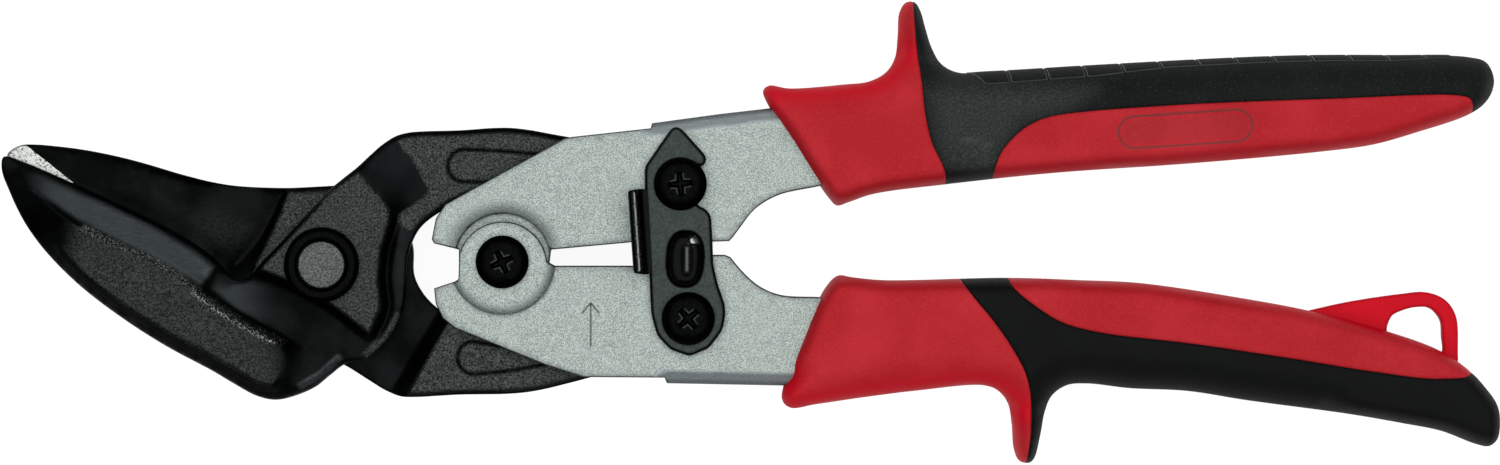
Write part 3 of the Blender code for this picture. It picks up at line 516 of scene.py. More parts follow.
class Finish:
    """A material under construction: a Principled shader and the nodes that feed it."""

    def __init__(self, name, **sockets):
        self.material = bpy.data.materials.new(name)
        self.material.use_nodes = True
        self.tree = self.material.node_tree
        self.shader = self.tree.nodes["Principled BSDF"]
        self.place = self.tree.nodes.new("ShaderNodeTexCoord").outputs["Object"]
        for socket, value in sockets.items():
            self.put(self.shader.inputs[socket.replace("_", " ")], value)

    def put(self, socket, value):
        """Links a socket to what feeds it, or sets it to a plain value."""
        if isinstance(value, bpy.types.NodeSocket):
            self.tree.links.new(value, socket)
        elif hasattr(socket.default_value, "__len__") and len(value) == 3 and len(socket.default_value) == 4:
            socket.default_value = (*value, 1)
        else:
            socket.default_value = value

    def node(self, kind, inputs, **settings):
        """Adds a node with its inputs and settings."""
        made = self.tree.nodes.new(kind)
        for key, value in settings.items():
            setattr(made, key, value)
        for socket, value in inputs.items():
            self.put(made.inputs[socket], value)
        return made

    def noise(self, scale, detail=2.0, roughness=0.5, stretch=None):
        """Fractal noise, with the scale in grains per metre."""
        where = self.place
        if stretch:
            where = self.node(
                "ShaderNodeVectorMath", {0: where, 1: stretch}, operation="MULTIPLY",
            ).outputs[0]
        inputs = {"Vector": where, "Scale": scale, "Detail": detail, "Roughness": roughness}
        return self.node("ShaderNodeTexNoise", inputs).outputs["Fac"]

    def mark(self, name):
        """A value kept at the corners of the mesh, 0 where the mesh has none."""
        return self.node("ShaderNodeAttribute", {}, attribute_name=name).outputs["Fac"]

    def shifted(self, value, low, high, to_low=0.0, to_high=1.0):
        """A value mapped smoothly from one range to another, held at the ends."""
        inputs = {"Value": value, 1: low, 2: high, 3: to_low, 4: to_high}
        return self.node("ShaderNodeMapRange", inputs, interpolation_type="SMOOTHSTEP").outputs[0]

    def times(self, a, b):
        """The product of two values."""
        return self.node("ShaderNodeMath", {0: a, 1: b}, operation="MULTIPLY").outputs[0]

    def plus(self, a, b):
        """The sum of two values."""
        return self.node("ShaderNodeMath", {0: a, 1: b}, operation="ADD").outputs[0]

    def blended(self, share, a, b):
        """Colour a where share is 0, and b where it is 1."""
        made = self.node("ShaderNodeMix", {0: share, 6: a, 7: b}, data_type="RGBA")
        return made.outputs[2]

    def mottled(self, noise, low, high, dark, light):
        """A colour that runs from dark to light with a noise."""
        return self.blended(self.shifted(noise, low, high), dark, light)

    def over(self, colour, mark, added, share=1.0):
        """A colour with another laid over it where the mesh is marked."""
        amount = self.mark(mark)
        return self.blended(amount if share == 1.0 else self.times(amount, share), colour, added)

    def coated(self, colour, noise, smooth, rough):
        """Sets the colour, and a roughness that runs between two values with a noise."""
        self.put(self.shader.inputs["Base Color"], colour)
        self.put(self.shader.inputs["Roughness"], self.shifted(noise, 0.3, 0.7, smooth, rough))

    def ridged(self, height, depth):
        """Gives the surface relief, with the depth in metres."""
        below = self.shader.inputs["Normal"]
        inputs = {"Height": height, "Distance": depth, "Strength": 1.0}
        if below.links:
            inputs["Normal"] = below.links[0].from_socket
        self.put(below, self.node("ShaderNodeBump", inputs).outputs[0])


def once(build):
    """Makes a material the first time it is asked for, and hands out the same one after that."""
    made = {}

    def get(*args):
        if (build, *args) not in made:
            made[(build, *args)] = build(*args).material
        return made[(build, *args)]

    return get


@once
def forged_steel():
    """Blackened steel: smooth where it was ground or swept, grainy where blasted, bare where it cuts, with painted
    glints and highlights, and painted shade in its grooves and recesses.
    """
    look = Finish("forged_steel", Metallic=0.85, Specular_IOR_Level=0.15, Specular_Tint=(0.35, 0.37, 0.38))
    rough = look.mark("rough_forged")
    bare = look.mark("ground_bright")
    grain = look.noise(3000, 3, 0.7)
    coarse = look.noise(1100)
    cloud = look.noise(120, 3)
    streak = look.noise(700, stretch=(1.0, 3.2, 1.0))
    smooth = look.mottled(cloud, 0.35, 0.7, (0.001, 0.0012, 0.0012), (0.0038, 0.0045, 0.0045))
    # the satin tone of the ground flank, also laid on as a painted highlight and a painted lit patch
    smooth = look.over(smooth, "satin", (0.075, 0.089, 0.094))
    blasted = look.mottled(grain, 0.36, 0.66, (0.006, 0.0075, 0.007), (0.08, 0.092, 0.087))
    blasted = look.blended(look.shifted(coarse, 0.3, 0.75, 0, 0.4), blasted, (0.026, 0.03, 0.0285))
    colour = look.blended(rough, smooth, blasted)
    glints = look.times(look.mark("glint"), look.shifted(grain, 0.5, 0.62))
    colour = look.blended(glints, colour, (0.3, 0.33, 0.31))
    bright = look.mottled(grain, 0.38, 0.5, (0.05, 0.05, 0.05), (0.34, 0.35, 0.33))
    ragged = look.shifted(look.plus(bare, look.shifted(coarse, 0.3, 0.7, -0.15, 0.15)), 0.35, 0.65)
    colour = look.blended(look.times(ragged, look.shifted(bare, 0.02, 0.3)), colour, bright)
    # painted shade: near-black laid into the stamped recess lines, the hub's groove and along the hub's diagonal
    # edge
    colour = look.over(colour, "stamped", (0.0015, 0.0015, 0.0015))
    look.put(look.shader.inputs["Base Color"], colour)
    polish = look.shifted(streak, 0.3, 0.7, 0.36, 0.46)
    look.put(look.shader.inputs["Roughness"], look.plus(look.times(rough, 0.15), polish))
    relief = look.plus(look.times(grain, 0.55), look.times(coarse, 0.45))
    look.ridged(look.times(relief, rough), 0.0003)
    look.ridged(look.noise(1800, 2, 0.6), 0.00002)
    return look


@once
def zinc_plate():
    """Bright zinc over pressed steel, with a fine speckle and dark cut edges, and painted shade round the dishes
    and along their steps.
    """
    look = Finish("zinc_plate", Metallic=1.0)
    grain = look.noise(4300, 3, 0.8)
    cloud = look.noise(110)
    face = look.mottled(grain, 0.36, 0.64, (0.115, 0.133, 0.124), (0.33, 0.373, 0.352))
    face = look.blended(look.shifted(cloud, 0.35, 0.7, 0, 0.15), face, (0.26, 0.295, 0.28))
    # painted shade round the pressed dishes
    face = look.over(face, "dished", (0.06, 0.075, 0.068), 0.8)
    face = look.over(face, "folded", (0.19, 0.215, 0.228), 0.75)
    # dark cut edges of the sheet, and painted shade along the dishes' steps
    face = look.over(face, "sheared", (0.05, 0.055, 0.055))
    face = look.over(face, "printed", (0.03, 0.032, 0.03))
    look.coated(face, look.noise(600), 0.48, 0.52)
    look.ridged(grain, 0.00005)
    return look


@once
def latch_steel():
    """Pressed latch plate in a thin semi-matt blackening, with painted shade on its rolled edges, over its
    window's well and over its flange.
    """
    look = Finish("latch_steel", Metallic=0.9, Specular_IOR_Level=0.3)
    grain = look.noise(2100, 3, 0.6)
    face = look.mottled(grain, 0.3, 0.7, (0.0135, 0.0175, 0.0165), (0.0235, 0.0295, 0.0275))
    # painted shade: near-black on the rolled edges, over the window's well and over the flange
    face = look.over(face, "worn_edge", (0.0014, 0.0016, 0.0016))
    face = look.over(face, "glint", (0.22, 0.24, 0.235))
    look.coated(face, look.noise(500), 0.3, 0.4)
    look.ridged(grain, 0.00002)
    return look


@once
def black_steel():
    """Black oxide fasteners."""
    look = Finish("black_oxide", Metallic=0.9, Specular_IOR_Level=0.15, Specular_Tint=(0.4, 0.4, 0.4))
    grain = look.noise(2400, 3, 0.6)
    face = look.mottled(grain, 0.35, 0.7, (0.0006, 0.0007, 0.0007), (0.0018, 0.0021, 0.0021))
    face = look.over(face, "glint", (0.05, 0.055, 0.053))
    look.coated(face, look.noise(900), 0.26, 0.36)
    look.ridged(grain, 0.00002)
    return look


@once
def grey_steel(name):
    """Plain steel with a matt machined grain."""
    look = Finish(name, Metallic=1.0)
    grain = look.noise(2600, 4, 0.7)
    face = look.mottled(grain, 0.34, 0.68, (0.022, 0.025, 0.0245), (0.085, 0.093, 0.09))
    look.coated(face, look.noise(700), 0.36, 0.5)
    look.ridged(grain, 0.00008)
    return look


@once
def red_plastic():
    """Hard red moulding with a faint grain, a printed outline where the badge goes, and painted light on its
    rolled flanks.
    """
    look = Finish("red_plastic", Specular_IOR_Level=0.02)
    cloud = look.noise(90, 3)
    grain = look.noise(2800, 3, 0.6)
    face = look.mottled(cloud, 0.3, 0.7, (0.325, 0.011, 0.016), (0.385, 0.018, 0.025))
    face = look.blended(look.shifted(grain, 0.4, 0.75, 0, 0.16), face, (0.5, 0.07, 0.08))
    # painted light: the rolled flanks are laid a brighter, deeper red than the face
    face = look.blended(look.shifted(look.mark("flank"), 0.02, 0.5), face, (0.47, 0.002, 0.011))
    face = look.over(face, "printed", (0.1, 0.035, 0.035))
    look.coated(face, cloud, 0.42, 0.56)
    look.ridged(look.noise(1300, 4, 0.6), 0.00005)
    return look


@once
def black_rubber():
    """Soft black moulding, matt and slightly dusty, with painted highlights on the tread pads' edges."""
    look = Finish("black_rubber", Specular_IOR_Level=0.08)
    cloud = look.noise(110, 3, 0.55)
    grain = look.noise(2600, 4, 0.7)
    face = look.mottled(cloud, 0.3, 0.7, (0.0034, 0.0041, 0.0039), (0.0056, 0.0067, 0.0063))
    face = look.blended(look.shifted(grain, 0.52, 0.72, 0, 0.6), face, (0.03, 0.036, 0.034))
    dust = look.times(look.mark("dusty"), look.shifted(grain, 0.4, 0.65, 0.35, 1))
    face = look.blended(dust, face, (0.04, 0.047, 0.044))
    # painted highlight along the tread pads' ends and sides
    face = look.over(face, "worn", (0.27, 0.3, 0.3))
    # the lower cover is laid darker all over than the upper
    face = look.over(face, "polished", (0.0012, 0.0015, 0.0014), 0.75)
    look.coated(face, grain, 0.6, 0.8)
    look.ridged(grain, 0.00007)
    return look


# ---------------------------------------------------------------- forgings

INNER_FACE = 0.15
HUB_FACE = 6.3
TAIL_FACE = 3.1
HUB_CLEAR_R = 21.0  # the tails cross the parting plane between these distances from the blade bolt
CRANK_END_R = 24.5
FORGED_GRID = 0.45
FORGED_RINGS = (0.1, 0.3, 0.6)
FORGED_EDGE_R = 0.35
RECESS_DEPTH = 0.45
RECESS_WIDTH = 0.9
GROOVE_SIDES = (-0.5, -0.25, 0, 0.25, 0.5)
ON_EDGE = 0.01


def marked(flat, area, feather=0.35):
    """1 inside an area in plan and 0 outside, feathered at its edge."""
    return eased(depth_in(flat, np.array(area, float)) / feather + 0.5)


def stroke(flat, line, width, closed=False):
    """1 on a line in plan, falling to 0 at half a width away."""
    return 1 - eased(distance(flat, np.asarray(line, float), closed) * 2 / width)


def beside(line, offsets=GROOVE_SIDES):
    """Points on both sides of a line, for a mesh fine enough to carry a groove along it."""
    line = np.asarray(line, float)
    normal = leftward(np.gradient(line, axis=0))
    return np.concatenate([line[:, :2] + normal * offset for offset in offsets])


def plaque(left, upper, lower):
    """The line of a long recess: a half round at its left end, and two long sides."""
    centre, radius = left
    turn = arc(centre, radius, 95, 265, 16)
    return smooth_line([*upper, *turn, *lower], 0.3)


def outlines_of(node, side=1):
    """The smoothed outlines of a forging's rim, the outside first."""
    return [smooth_line(loop, FORGED_GRID, closed=True) for loop in rim_of(node, side)]


def front_forging():
    """The lower jaw with its hub plate, crank and upper tail."""
    outer, *holes = outlines_of("lower_jaw")
    flank_top = smooth_line([
        (-127.6, 11.5, 1.9), (-124, 10.5, 2.3), (-120, 8.5, 2.6), (-116, 6.6, 2.7), (-112, 5, 2.8),
        (-104, 1.2, 2.8), (-96, -3.5, 2.8), (-93.4, -5.6, 2.8),
    ])
    flank_foot = smooth_line([
        (-119.5, 4.9, 5.2), (-116, 2.7, 5.6), (-112, 0.5, 5.8), (-108, -1.4, 5.8), (-104, -3.3, 5.8),
        (-100, -5.6, 5.8), (-97, -7.5, 5.6), (-95, -9, 5.2),
    ])
    ridge = smooth_line([
        (-128, 9.6, 2.8), (-124, 7.2, 4.8), (-120, 4, 6.5), (-117, 1.9, 7.2), (-115, 0.7, 7.5),
        (-111, -1.2, 7.7), (-107, -3.1, 7.7), (-103, -4.9, 7.7), (-99, -7.2, 7.7), (-95.5, -9.9, 7.7),
        (-94, -11.4, 7.7), (-90, -14, 7.7), (-86, -16.4, 7.7), (-82, -18.4, 7.6), (-80.6, -19.2, 7.4),
    ])
    ridge_foot = smooth_line([
        (-93.6, -10, 4.6), (-90, -12.9, 4.5), (-86, -15.3, 4.4), (-82, -17.4, 4.3), (-79.6, -18.7, 4.6),
        (-76.5, -19.8, 4.9), (-73.8, -20.4, 4.6),
    ])
    margin = smooth_line([
        (-119.5, -2.4, 7), (-115.3, -6.9, 7.8), (-108.5, -12.1, 8), (-100.6, -17.1, 8), (-92.3, -21.5, 8),
        (-84.8, -25.8, 7.8), (-82.4, -26.8, 7.5),
    ])
    jaw_end = smooth_line([(-82.4, -26.8, 7.5), (-80.9, -25, 7.4), (-80, -22, 7.4), (-80.6, -19.2, 7.4)])
    fall = smooth_line([(-78.9, -27.4, 6), (-75.4, -25.5, 5.7), (-71.9, -22.3, 4.9), (-70.4, -20.6, 4.1)])
    band_end = straight_line([(-92.7, -6, 2.9), (-94.6, -8.6, 4.4)])
    valley = smooth_line([
        (-90.6, -8.9, 3.4), (-86.3, -8.9, 3.9), (-80.8, -11, 3.9), (-74.6, -14.6, 3.9),
        (-68.4, -19.4, 3.7),
    ])
    plateau_corners = [
        (-84.6, -6.3), (-72.2, 7.1), (-67.6, 10.4), (-62, 4), (-62, 2), (-63.5, -3), (-64, -8),
        (-63.5, -13), (-65.6, -17.5), (-72.5, -12.2), (-80, -8.1),
    ]
    plateau = straight_line(lifted(plateau_corners, HUB_FACE), closed=True)
    foot = smooth_line([(-85.4, -7.7, 4.2), (-80.5, -9.3, 4.1), (-73, -13.4, 4), (-66.3, -18.6, 3.7)])
    groove = smooth_line([
        (-61, 2.8, 2.9), (-62.6, -3, 2.2), (-63.1, -8, 2.2), (-62.6, -13.2, 2.2), (-64.7, -18, 2.7),
    ])
    ledge = smooth_line([
        (-60, 2.2, 3.3), (-61.3, -3, 3.4), (-61.9, -8, 3.4), (-61.5, -13.4, 3.4), (-63.7, -18.8, 3.4),
        (-67, -21.8, 3.4),
    ])
    ramp_corners = [(-60.9, 16.2), (-58, 12.4), (-55.3, 7.4), (-56, 6), (-60.4, 3.1)]
    ramp_foot = straight_line(lifted(ramp_corners, TAIL_FACE))
    tail_points = [(-59, 16.4), (-50, 16.9), (-41, 17.3), (-31, 15.7), (-20, 14.1)]
    tail_margin = smooth_line(lifted(tail_points, TAIL_FACE), 0.5)
    recess = plaque(
        ((-49.3, 11.6), 2.8), [(-33, 13.2), (-41, 14), (-48, 14.4)], [(-48, 8.8), (-41, 8.6), (-33, 8.2)],
    )
    lines = [
        flank_top, flank_foot, ridge, ridge_foot, margin, jaw_end, fall, band_end, valley, foot, groove,
        ledge, ramp_foot, tail_margin,
    ]
    breaks = [*lines, closed_path(plateau)]
    flat, faces = triangulated([outer, *holes], FORGED_GRID, FORGED_RINGS, breaks, [beside(recess)])
    pins = [
        (outer, True),
        (plateau, True),
        *[(line, False) for line in lines],
        *[(hole, True) for hole in holes],
    ]
    high = stretched(flat, faces, pins)
    edge = distance(flat, outer)
    high = softened(faces, high, 3, held=edge < ON_EDGE)
    hub_side = [(-88, -8), (-62, 20), (-58, 16), (-84, -10)]
    high -= rounding(edge, FORGED_EDGE_R + 0.5 * marked(flat, hub_side, 1.5))
    high -= RECESS_DEPTH * stroke(flat, recess, RECESS_WIDTH)
    offset = flat - BLADE_PIVOT
    share = eased((np.linalg.norm(offset, axis=1) - HUB_CLEAR_R) / (CRANK_END_R - HUB_CLEAR_R))
    low = INNER_FACE - (INNER_FACE + TAIL_FACE) * np.where(offset[:, 0] > 2, share, 0)
    jaw_area = [
        (-119.5, 2.2), (-115, 0.9), (-111, -1), (-107, -2.9), (-103, -4.6), (-99, -7), (-95.5, -9.7),
        (-94, -11.2), (-90, -13.8), (-86, -16.2), (-82, -18.2), (-80.6, -19), (-80.4, -22), (-81.2, -25),
        (-82.6, -26.6), (-84.7, -26.2), (-92.3, -21.9), (-100.5, -17.4), (-108.5, -12.3), (-115.1, -7),
        (-119.5, -2.6),
    ]
    tail_area = [
        (-61.4, 16.5), (-58, 12.5), (-55.3, 7.4), (-56, 6), (-61, 2.8), (-60, 1), (-56, -1), (0, -2),
        (0, 20), (-61, 20),
    ]
    rough = 0.37 * marked(flat, jaw_area) * eased((flat[:, 0] + 120) / 6)
    rough *= eased((-79.4 - flat[:, 0] - 0.25 * (flat[:, 1] + 22)) / 5.5)
    rough += 0.72 * marked(flat, plateau_corners)
    rough += marked(flat, tail_area) * eased((distance(flat, outer) - 0.7) / 0.5)
    rough += 0.8 * stroke(flat, [(-60.7, -14.8), (-62.6, -18), (-66, -21.4)], 2.6)
    band = [
        (-127.4, 11), (-124, 10.4), (-120, 8.4), (-116, 6.5), (-112, 4.9), (-104, 1.1), (-96, -3.6),
        (-93, -6), (-95, -9), (-97, -7.6), (-100, -5.8), (-104, -3.5), (-108, -1.6), (-112, 0.4),
        (-116, 2.5), (-119.5, 4.8), (-124, 7.4),
    ]
    patch_area = [
        (-92, -7.3), (-86, -8.6), (-79, -10.6), (-76, -17.5), (-81, -16.6), (-88, -13.6), (-93, -9.9),
    ]
    crank_area = [(-67.5, 10), (-61, 16), (-60, 15.5), (-55.3, 7.4), (-56, 6), (-61, 2.7), (-62, 4)]
    ledge_area = [(-60.6, 1.5), (-61, -3), (-61.3, -8), (-61, -13), (-58, -13), (-58, 1)]
    # the ground flank band in its own satin tone and a faint tint on the crank and ledge; painted light: a lit
    # patch in the valley and a painted highlight along the jaw's heel
    satin = marked(flat, band, 1.2) * eased((flat[:, 0] + 127) / 9)
    satin += 0.2 * marked(flat, patch_area, 1.5) * eased((-81 - flat[:, 0]) / 10)
    satin += 0.03 * marked(flat, crank_area, 0.6) + 0.04 * marked(flat, ledge_area, 0.8)
    satin += 0.6 * stroke(flat, [(-77.5, -26.6), (-74, -24.6), (-71, -21.8)], 1.8)
    # painted shade: a dark band just inside the hub's diagonal edge and down the groove
    along_edge = marked(flat, [(-87, -6), (-77, 5.5), (-73, 5), (-83, -7.5)], 0.8)
    shadows = np.maximum(along_edge * (1 - eased((edge - 0.55) / 0.3)), stroke(flat, groove, 1.3))
    ridge_glint = 0.7 * stroke(flat, jaw_area[1:12], 1.5)
    lower_glint = 0.75 * stroke(flat, np.array(jaw_area[6:11]) - [0.2, 0.6], 1.7)
    marks = {
        "rough_forged": np.clip(rough, 0, 1),
        "stamped": np.maximum(stroke(flat, recess, 0.8), shadows),
        "satin": np.clip(satin * (1 - rough), 0, 1),
        "glint": np.maximum(ridge_glint, lower_glint),
    }
    shell = closed_mesh(flat, faces, high, np.minimum(low, high - 0.5), marks)
    piece("front_forging", "lower_jaw", forged_steel(), [shell], sharp=75)


def rear_forging():
    """The upper blade with its hub, crank and lower tail."""
    outer, *holes = outlines_of("upper_blade")
    under = outlines_of("upper_blade", side=-1)[0]
    back_edge = (outer[:, 0] < -71) & (outer[:, 1] > -0.9 * (outer[:, 0] + 81) - 2) & (outer[:, 1] > 6)
    outer[:, 2] = np.where(back_edge, -1.6, outer[:, 2])
    shear = smooth_line([
        (-128.9, 13.9, -0.15), (-118.5, 9.7, -0.15), (-111, 6.3, -0.15), (-104, 3, -0.15),
        (-98, -0.2, -0.15), (-93.2, -3.9, -0.2),
    ], 0.5)
    ground = smooth_line([(-127.2, 15.1, -0.2), (-125.4, 14.7, -0.15), (-118.6, 9.8, -0.15)])
    shoulder = smooth_line([
        (-123.6, 14.4, -0.6), (-116, 12.8, -0.8), (-107, 10.9, -1.0), (-98, 8.6, -1.2), (-88, 7, -1.7),
        (-83.5, 6.8, -2.4),
    ], 0.5)
    hollow = smooth_line([
        (-119.5, 11, -0.45), (-112, 8.2, -0.7), (-104, 5.2, -0.9), (-97, 2.2, -1.1), (-91.5, -1.4, -1.3),
    ], 0.5)
    wall_foot = smooth_line([(-81, 7.2, -2.7), (-82.7, 3.2, -3.1), (-85.4, -1.4, -3.2), (-89.6, -5.8, -2.6)])
    wall_top = smooth_line([
        (-79.8, 7.6, -0.5), (-81.5, 3.4, -0.4), (-83.6, -1.2, -0.4), (-86.3, -7.1, -0.4),
    ])
    recess = plaque(
        ((-47.5, -21.8), 2.9), [(-33, -21.6), (-41, -20), (-48, -18.9)],
        [(-48, -24.7), (-41, -24), (-33, -22.4)],
    )
    across = np.array([0.861, -0.509])  # from the hub towards the tail, square to the ramp's ends
    tops = [shear, ground, shoulder, hollow, wall_foot, wall_top]
    bare = straight_line([
        (-130, 14), (-128.6, 15), (-127, 15.6), (-125.7, 15.1), (-122, 12.2), (-117.6, 8.7), (-118.4, 8),
        (-130, 12),
    ], 0.3, closed=True)
    fine = np.concatenate([beside(recess), beside(bare[:, :2], (-0.12, 0.12))])
    fine = fine[depth_in(fine, outer[:, :2]) > 0.2]
    flat, faces = triangulated([outer, *holes], FORGED_GRID, FORGED_RINGS, tops, [fine])
    edge = distance(flat, outer)
    hub = flat[:, 0] > -80
    high = stretched(flat, faces, [(outer, True), *[(line, False) for line in tops], (holes[0], True)])
    reach = (flat - BLADE_PIVOT) @ across
    ramp = -INNER_FACE + (TAIL_FACE + INNER_FACE) * eased((reach - HUB_CLEAR_R) / 3.3)
    strip = marked(
        flat, [(-79.5, 12), (-79.8, 7.6), (-81.5, 3.4), (-83.6, -1.2), (-86.5, -7.4), (-70, -30),
        (10, -30), (10, 12)], 0.2,
    )
    high = np.where(hub | (strip > 0.5), np.where(reach > 10, ramp, np.minimum(high, -INNER_FACE)), high)
    high = softened(faces, high, 2, held=edge < ON_EDGE)
    high -= rounding(edge, FORGED_EDGE_R)
    high -= RECESS_DEPTH * stroke(flat, recess, RECESS_WIDTH)
    spine = smooth_line([
        (-125, 13, -5), (-118, 11.6, -7), (-108, 8.2, -7.4), (-98, 3.6, -7.4), (-90, -1.4, -7),
    ], 0.5)
    hub_line = np.array(lifted(circle(BLADE_PIVOT, 12.2, 90), -HUB_FACE))
    tail_points = [(-53, -16.5), (-58.6, -24.6), (-50, -26.8), (-38, -26.6), (-26, -23.6)]
    tail_line = smooth_line(lifted(tail_points, -TAIL_FACE), 0.5)
    bottoms = [
        (under, True), (spine, False), (hub_line, True), (tail_line, False), (holes[1] * [1, 1, -1], True),
    ]
    folds = [spine, hub_line, tail_line]
    low_flat, low_faces = triangulated([outer, *holes], FORGED_GRID * 1.3, FORGED_RINGS, folds)
    low_own = stretched(low_flat, low_faces, bottoms)
    nearest_low = [np.abs(low_flat - p).sum(axis=1).argmin() for p in flat]
    low = softened(faces, low_own[nearest_low], 4) + rounding(edge, FORGED_EDGE_R)
    tail_area = [(-51.8, -15), (-58.6, -27.4), (-58, -30), (5, -30), (5, -5), (-40, -10)]
    rough = (strip * (reach < 8) + marked(flat, tail_area)) * eased((edge - 0.7) / 0.5)
    rough += 0.1 * marked(flat, [(-97, 2), (-91, 3), (-86.5, 1), (-90, -4), (-95, -1)], 5)
    marks = {
        "rough_forged": np.clip(rough, 0, 1),
        # painted shade along the stamped recess line
        "stamped": stroke(flat, recess, 0.8),
        "ground_bright": marked(flat, bare[:, :2], 0.2),
    }
    shell = closed_mesh(flat, faces, high, np.minimum(low, high - 0.6), marks)
    piece("rear_forging", "upper_blade", forged_steel(), [shell], sharp=75)


# ---------------------------------------------------------------- handles

SHEET = 1.7
CHEEK_FACE = 5.4
LOWER_DISC_FACE = 4.8
UPPER_DISC_FACE = 2.9
ARROW = (((-27.2, -19.6), (-27.2, -12.2)), ((-28.6, -13.9), (-27.2, -12.2), (-25.8, -13.9)))
FOLD_R = 2.2
FOLD_SLOPE = 0.42
FOLD_ROWS = (0.15, 0.5, 0.9, FOLD_R, FOLD_R + 0.3)
DISH_RINGS = (-0.05, 0, 0.04, 0.1, 0.2, 0.4, 0.6, 0.8, 0.94, 1, 1.05)  # from its inner to its outer circle
DISH_STEP = 0.04  # the share of the dish that its sharp inner step takes
CUT_BEND = 0.6  # how far the sheet's inner side takes to leave the web
SCREW_HOLE_R = 2.7
UPPER_WEB = [(-16.6, 19), (-4.8, 20.6), (4.8, 21.7), (20, 22.9), (40, 24.6), (65, 25.8), (104, 27)]
LOWER_WEB = [(-14, -26.2), (6.5, -26.6), (20, -25.6), (40, -23.9), (60, -23), (82, -24.8), (104, -28.2)]


def stamping(name, node, outline, holes, web, floor, dish, arrow=False):
    """A folded handle: two cheeks of sheet with a round dish about the handle pivot, joined by a web."""
    outline = straight_line(outline, 0.5, closed=True)
    loops = [outline, *[circle(hole, SCREW_HOLE_R, 48) for hole in holes]]
    inner, outer, rises_late = dish
    rings = [circle(HANDLE_PIVOT, inner + (outer - inner) * t, 120) for t in DISH_RINGS]
    spine = straight_line(web, 0.8)
    fold = [beside(spine, [s * d for d in FOLD_ROWS]) for s in (-1, 1)]
    fold += [beside(spine, [s * d for d in (SHEET - 0.04, SHEET + 0.04)]) for s in (-1, 1)]
    sign = [straight_line(line, 0.25) for line in ARROW]
    fine = [beside(line) for line in sign] if arrow else []
    flat, faces = triangulated(loops, 0.9, (0.08, 0.25), free=[*rings, *fold, *fine])
    edge = np.min([distance(flat, loop) for loop in loops], axis=0)
    to_web = distance(flat, np.array(web, float), closed=False)
    radius = np.linalg.norm(flat - HANDLE_PIVOT, axis=1)
    t = np.clip((radius - inner) / (outer - inner), 0, 1)
    rise = CHEEK_FACE - floor
    lip = 0.2 * rise
    late = floor + rise * t**2
    step_up = floor + (rise - lip) * eased(t / DISH_STEP)
    early = np.where(t > DISH_STEP, CHEEK_FACE - lip * (1 - t) ** 2, step_up)
    face = late if rises_late else early
    bend = np.clip(FOLD_R - to_web, 0, None) * FOLD_SLOPE + rounding(to_web, 0.6)
    high = face - np.where(to_web < FOLD_R, bend, rounding(edge, 0.25))
    low = np.where(to_web < SHEET, 0, face - SHEET + rounding(edge, 0.15))
    bent = low - 0.3 * (1 - (to_web - SHEET) / CUT_BEND)
    low = np.where((to_web >= SHEET) & (to_web < SHEET + CUT_BEND), bent, low)
    step = outer if rises_late else inner
    cut_edge = 1 - eased((edge - 0.12) / 0.2)
    # painted shade: a dark line along the dish's pressed step
    dish_step_shade = 0.8 * (1 - eased(np.abs(radius - step) / 0.22))
    marks = {
        "folded": 1 - eased((to_web - FOLD_R + 0.1) / 0.25),
        "sheared": np.maximum(cut_edge, dish_step_shade),
    }
    # painted shade: a soft dark ring inside the lower dish towards its bottom, and just outside the upper dish's
    # step towards its top
    if rises_late:
        below = eased((HANDLE_PIVOT[1] + 4 - flat[:, 1]) / 6)
        marks["dished"] = 0.55 * below * eased((radius - inner + 0.6) / (outer - inner)) * (radius < outer)
    else:
        above = eased((flat[:, 1] - HANDLE_PIVOT[1] + 1) / 6)
        marks["dished"] = 0.75 * above * (1 - eased((radius - inner) / 3.4)) * (radius > inner - 0.1)
    low = np.minimum(low, high - 0.2)
    points, back_faces, back_marks = closed_mesh(flat, faces, high, low, marks)
    back = (points * [1, 1, -1], [face[::-1] for face in back_faces], back_marks)
    if arrow:
        marks["printed"] = np.max([stroke(flat, line, 0.55) for line in sign], axis=0)
    front = closed_mesh(flat, faces, high, low, marks)
    piece(name, node, zinc_plate(), [front, back], sharp=45)


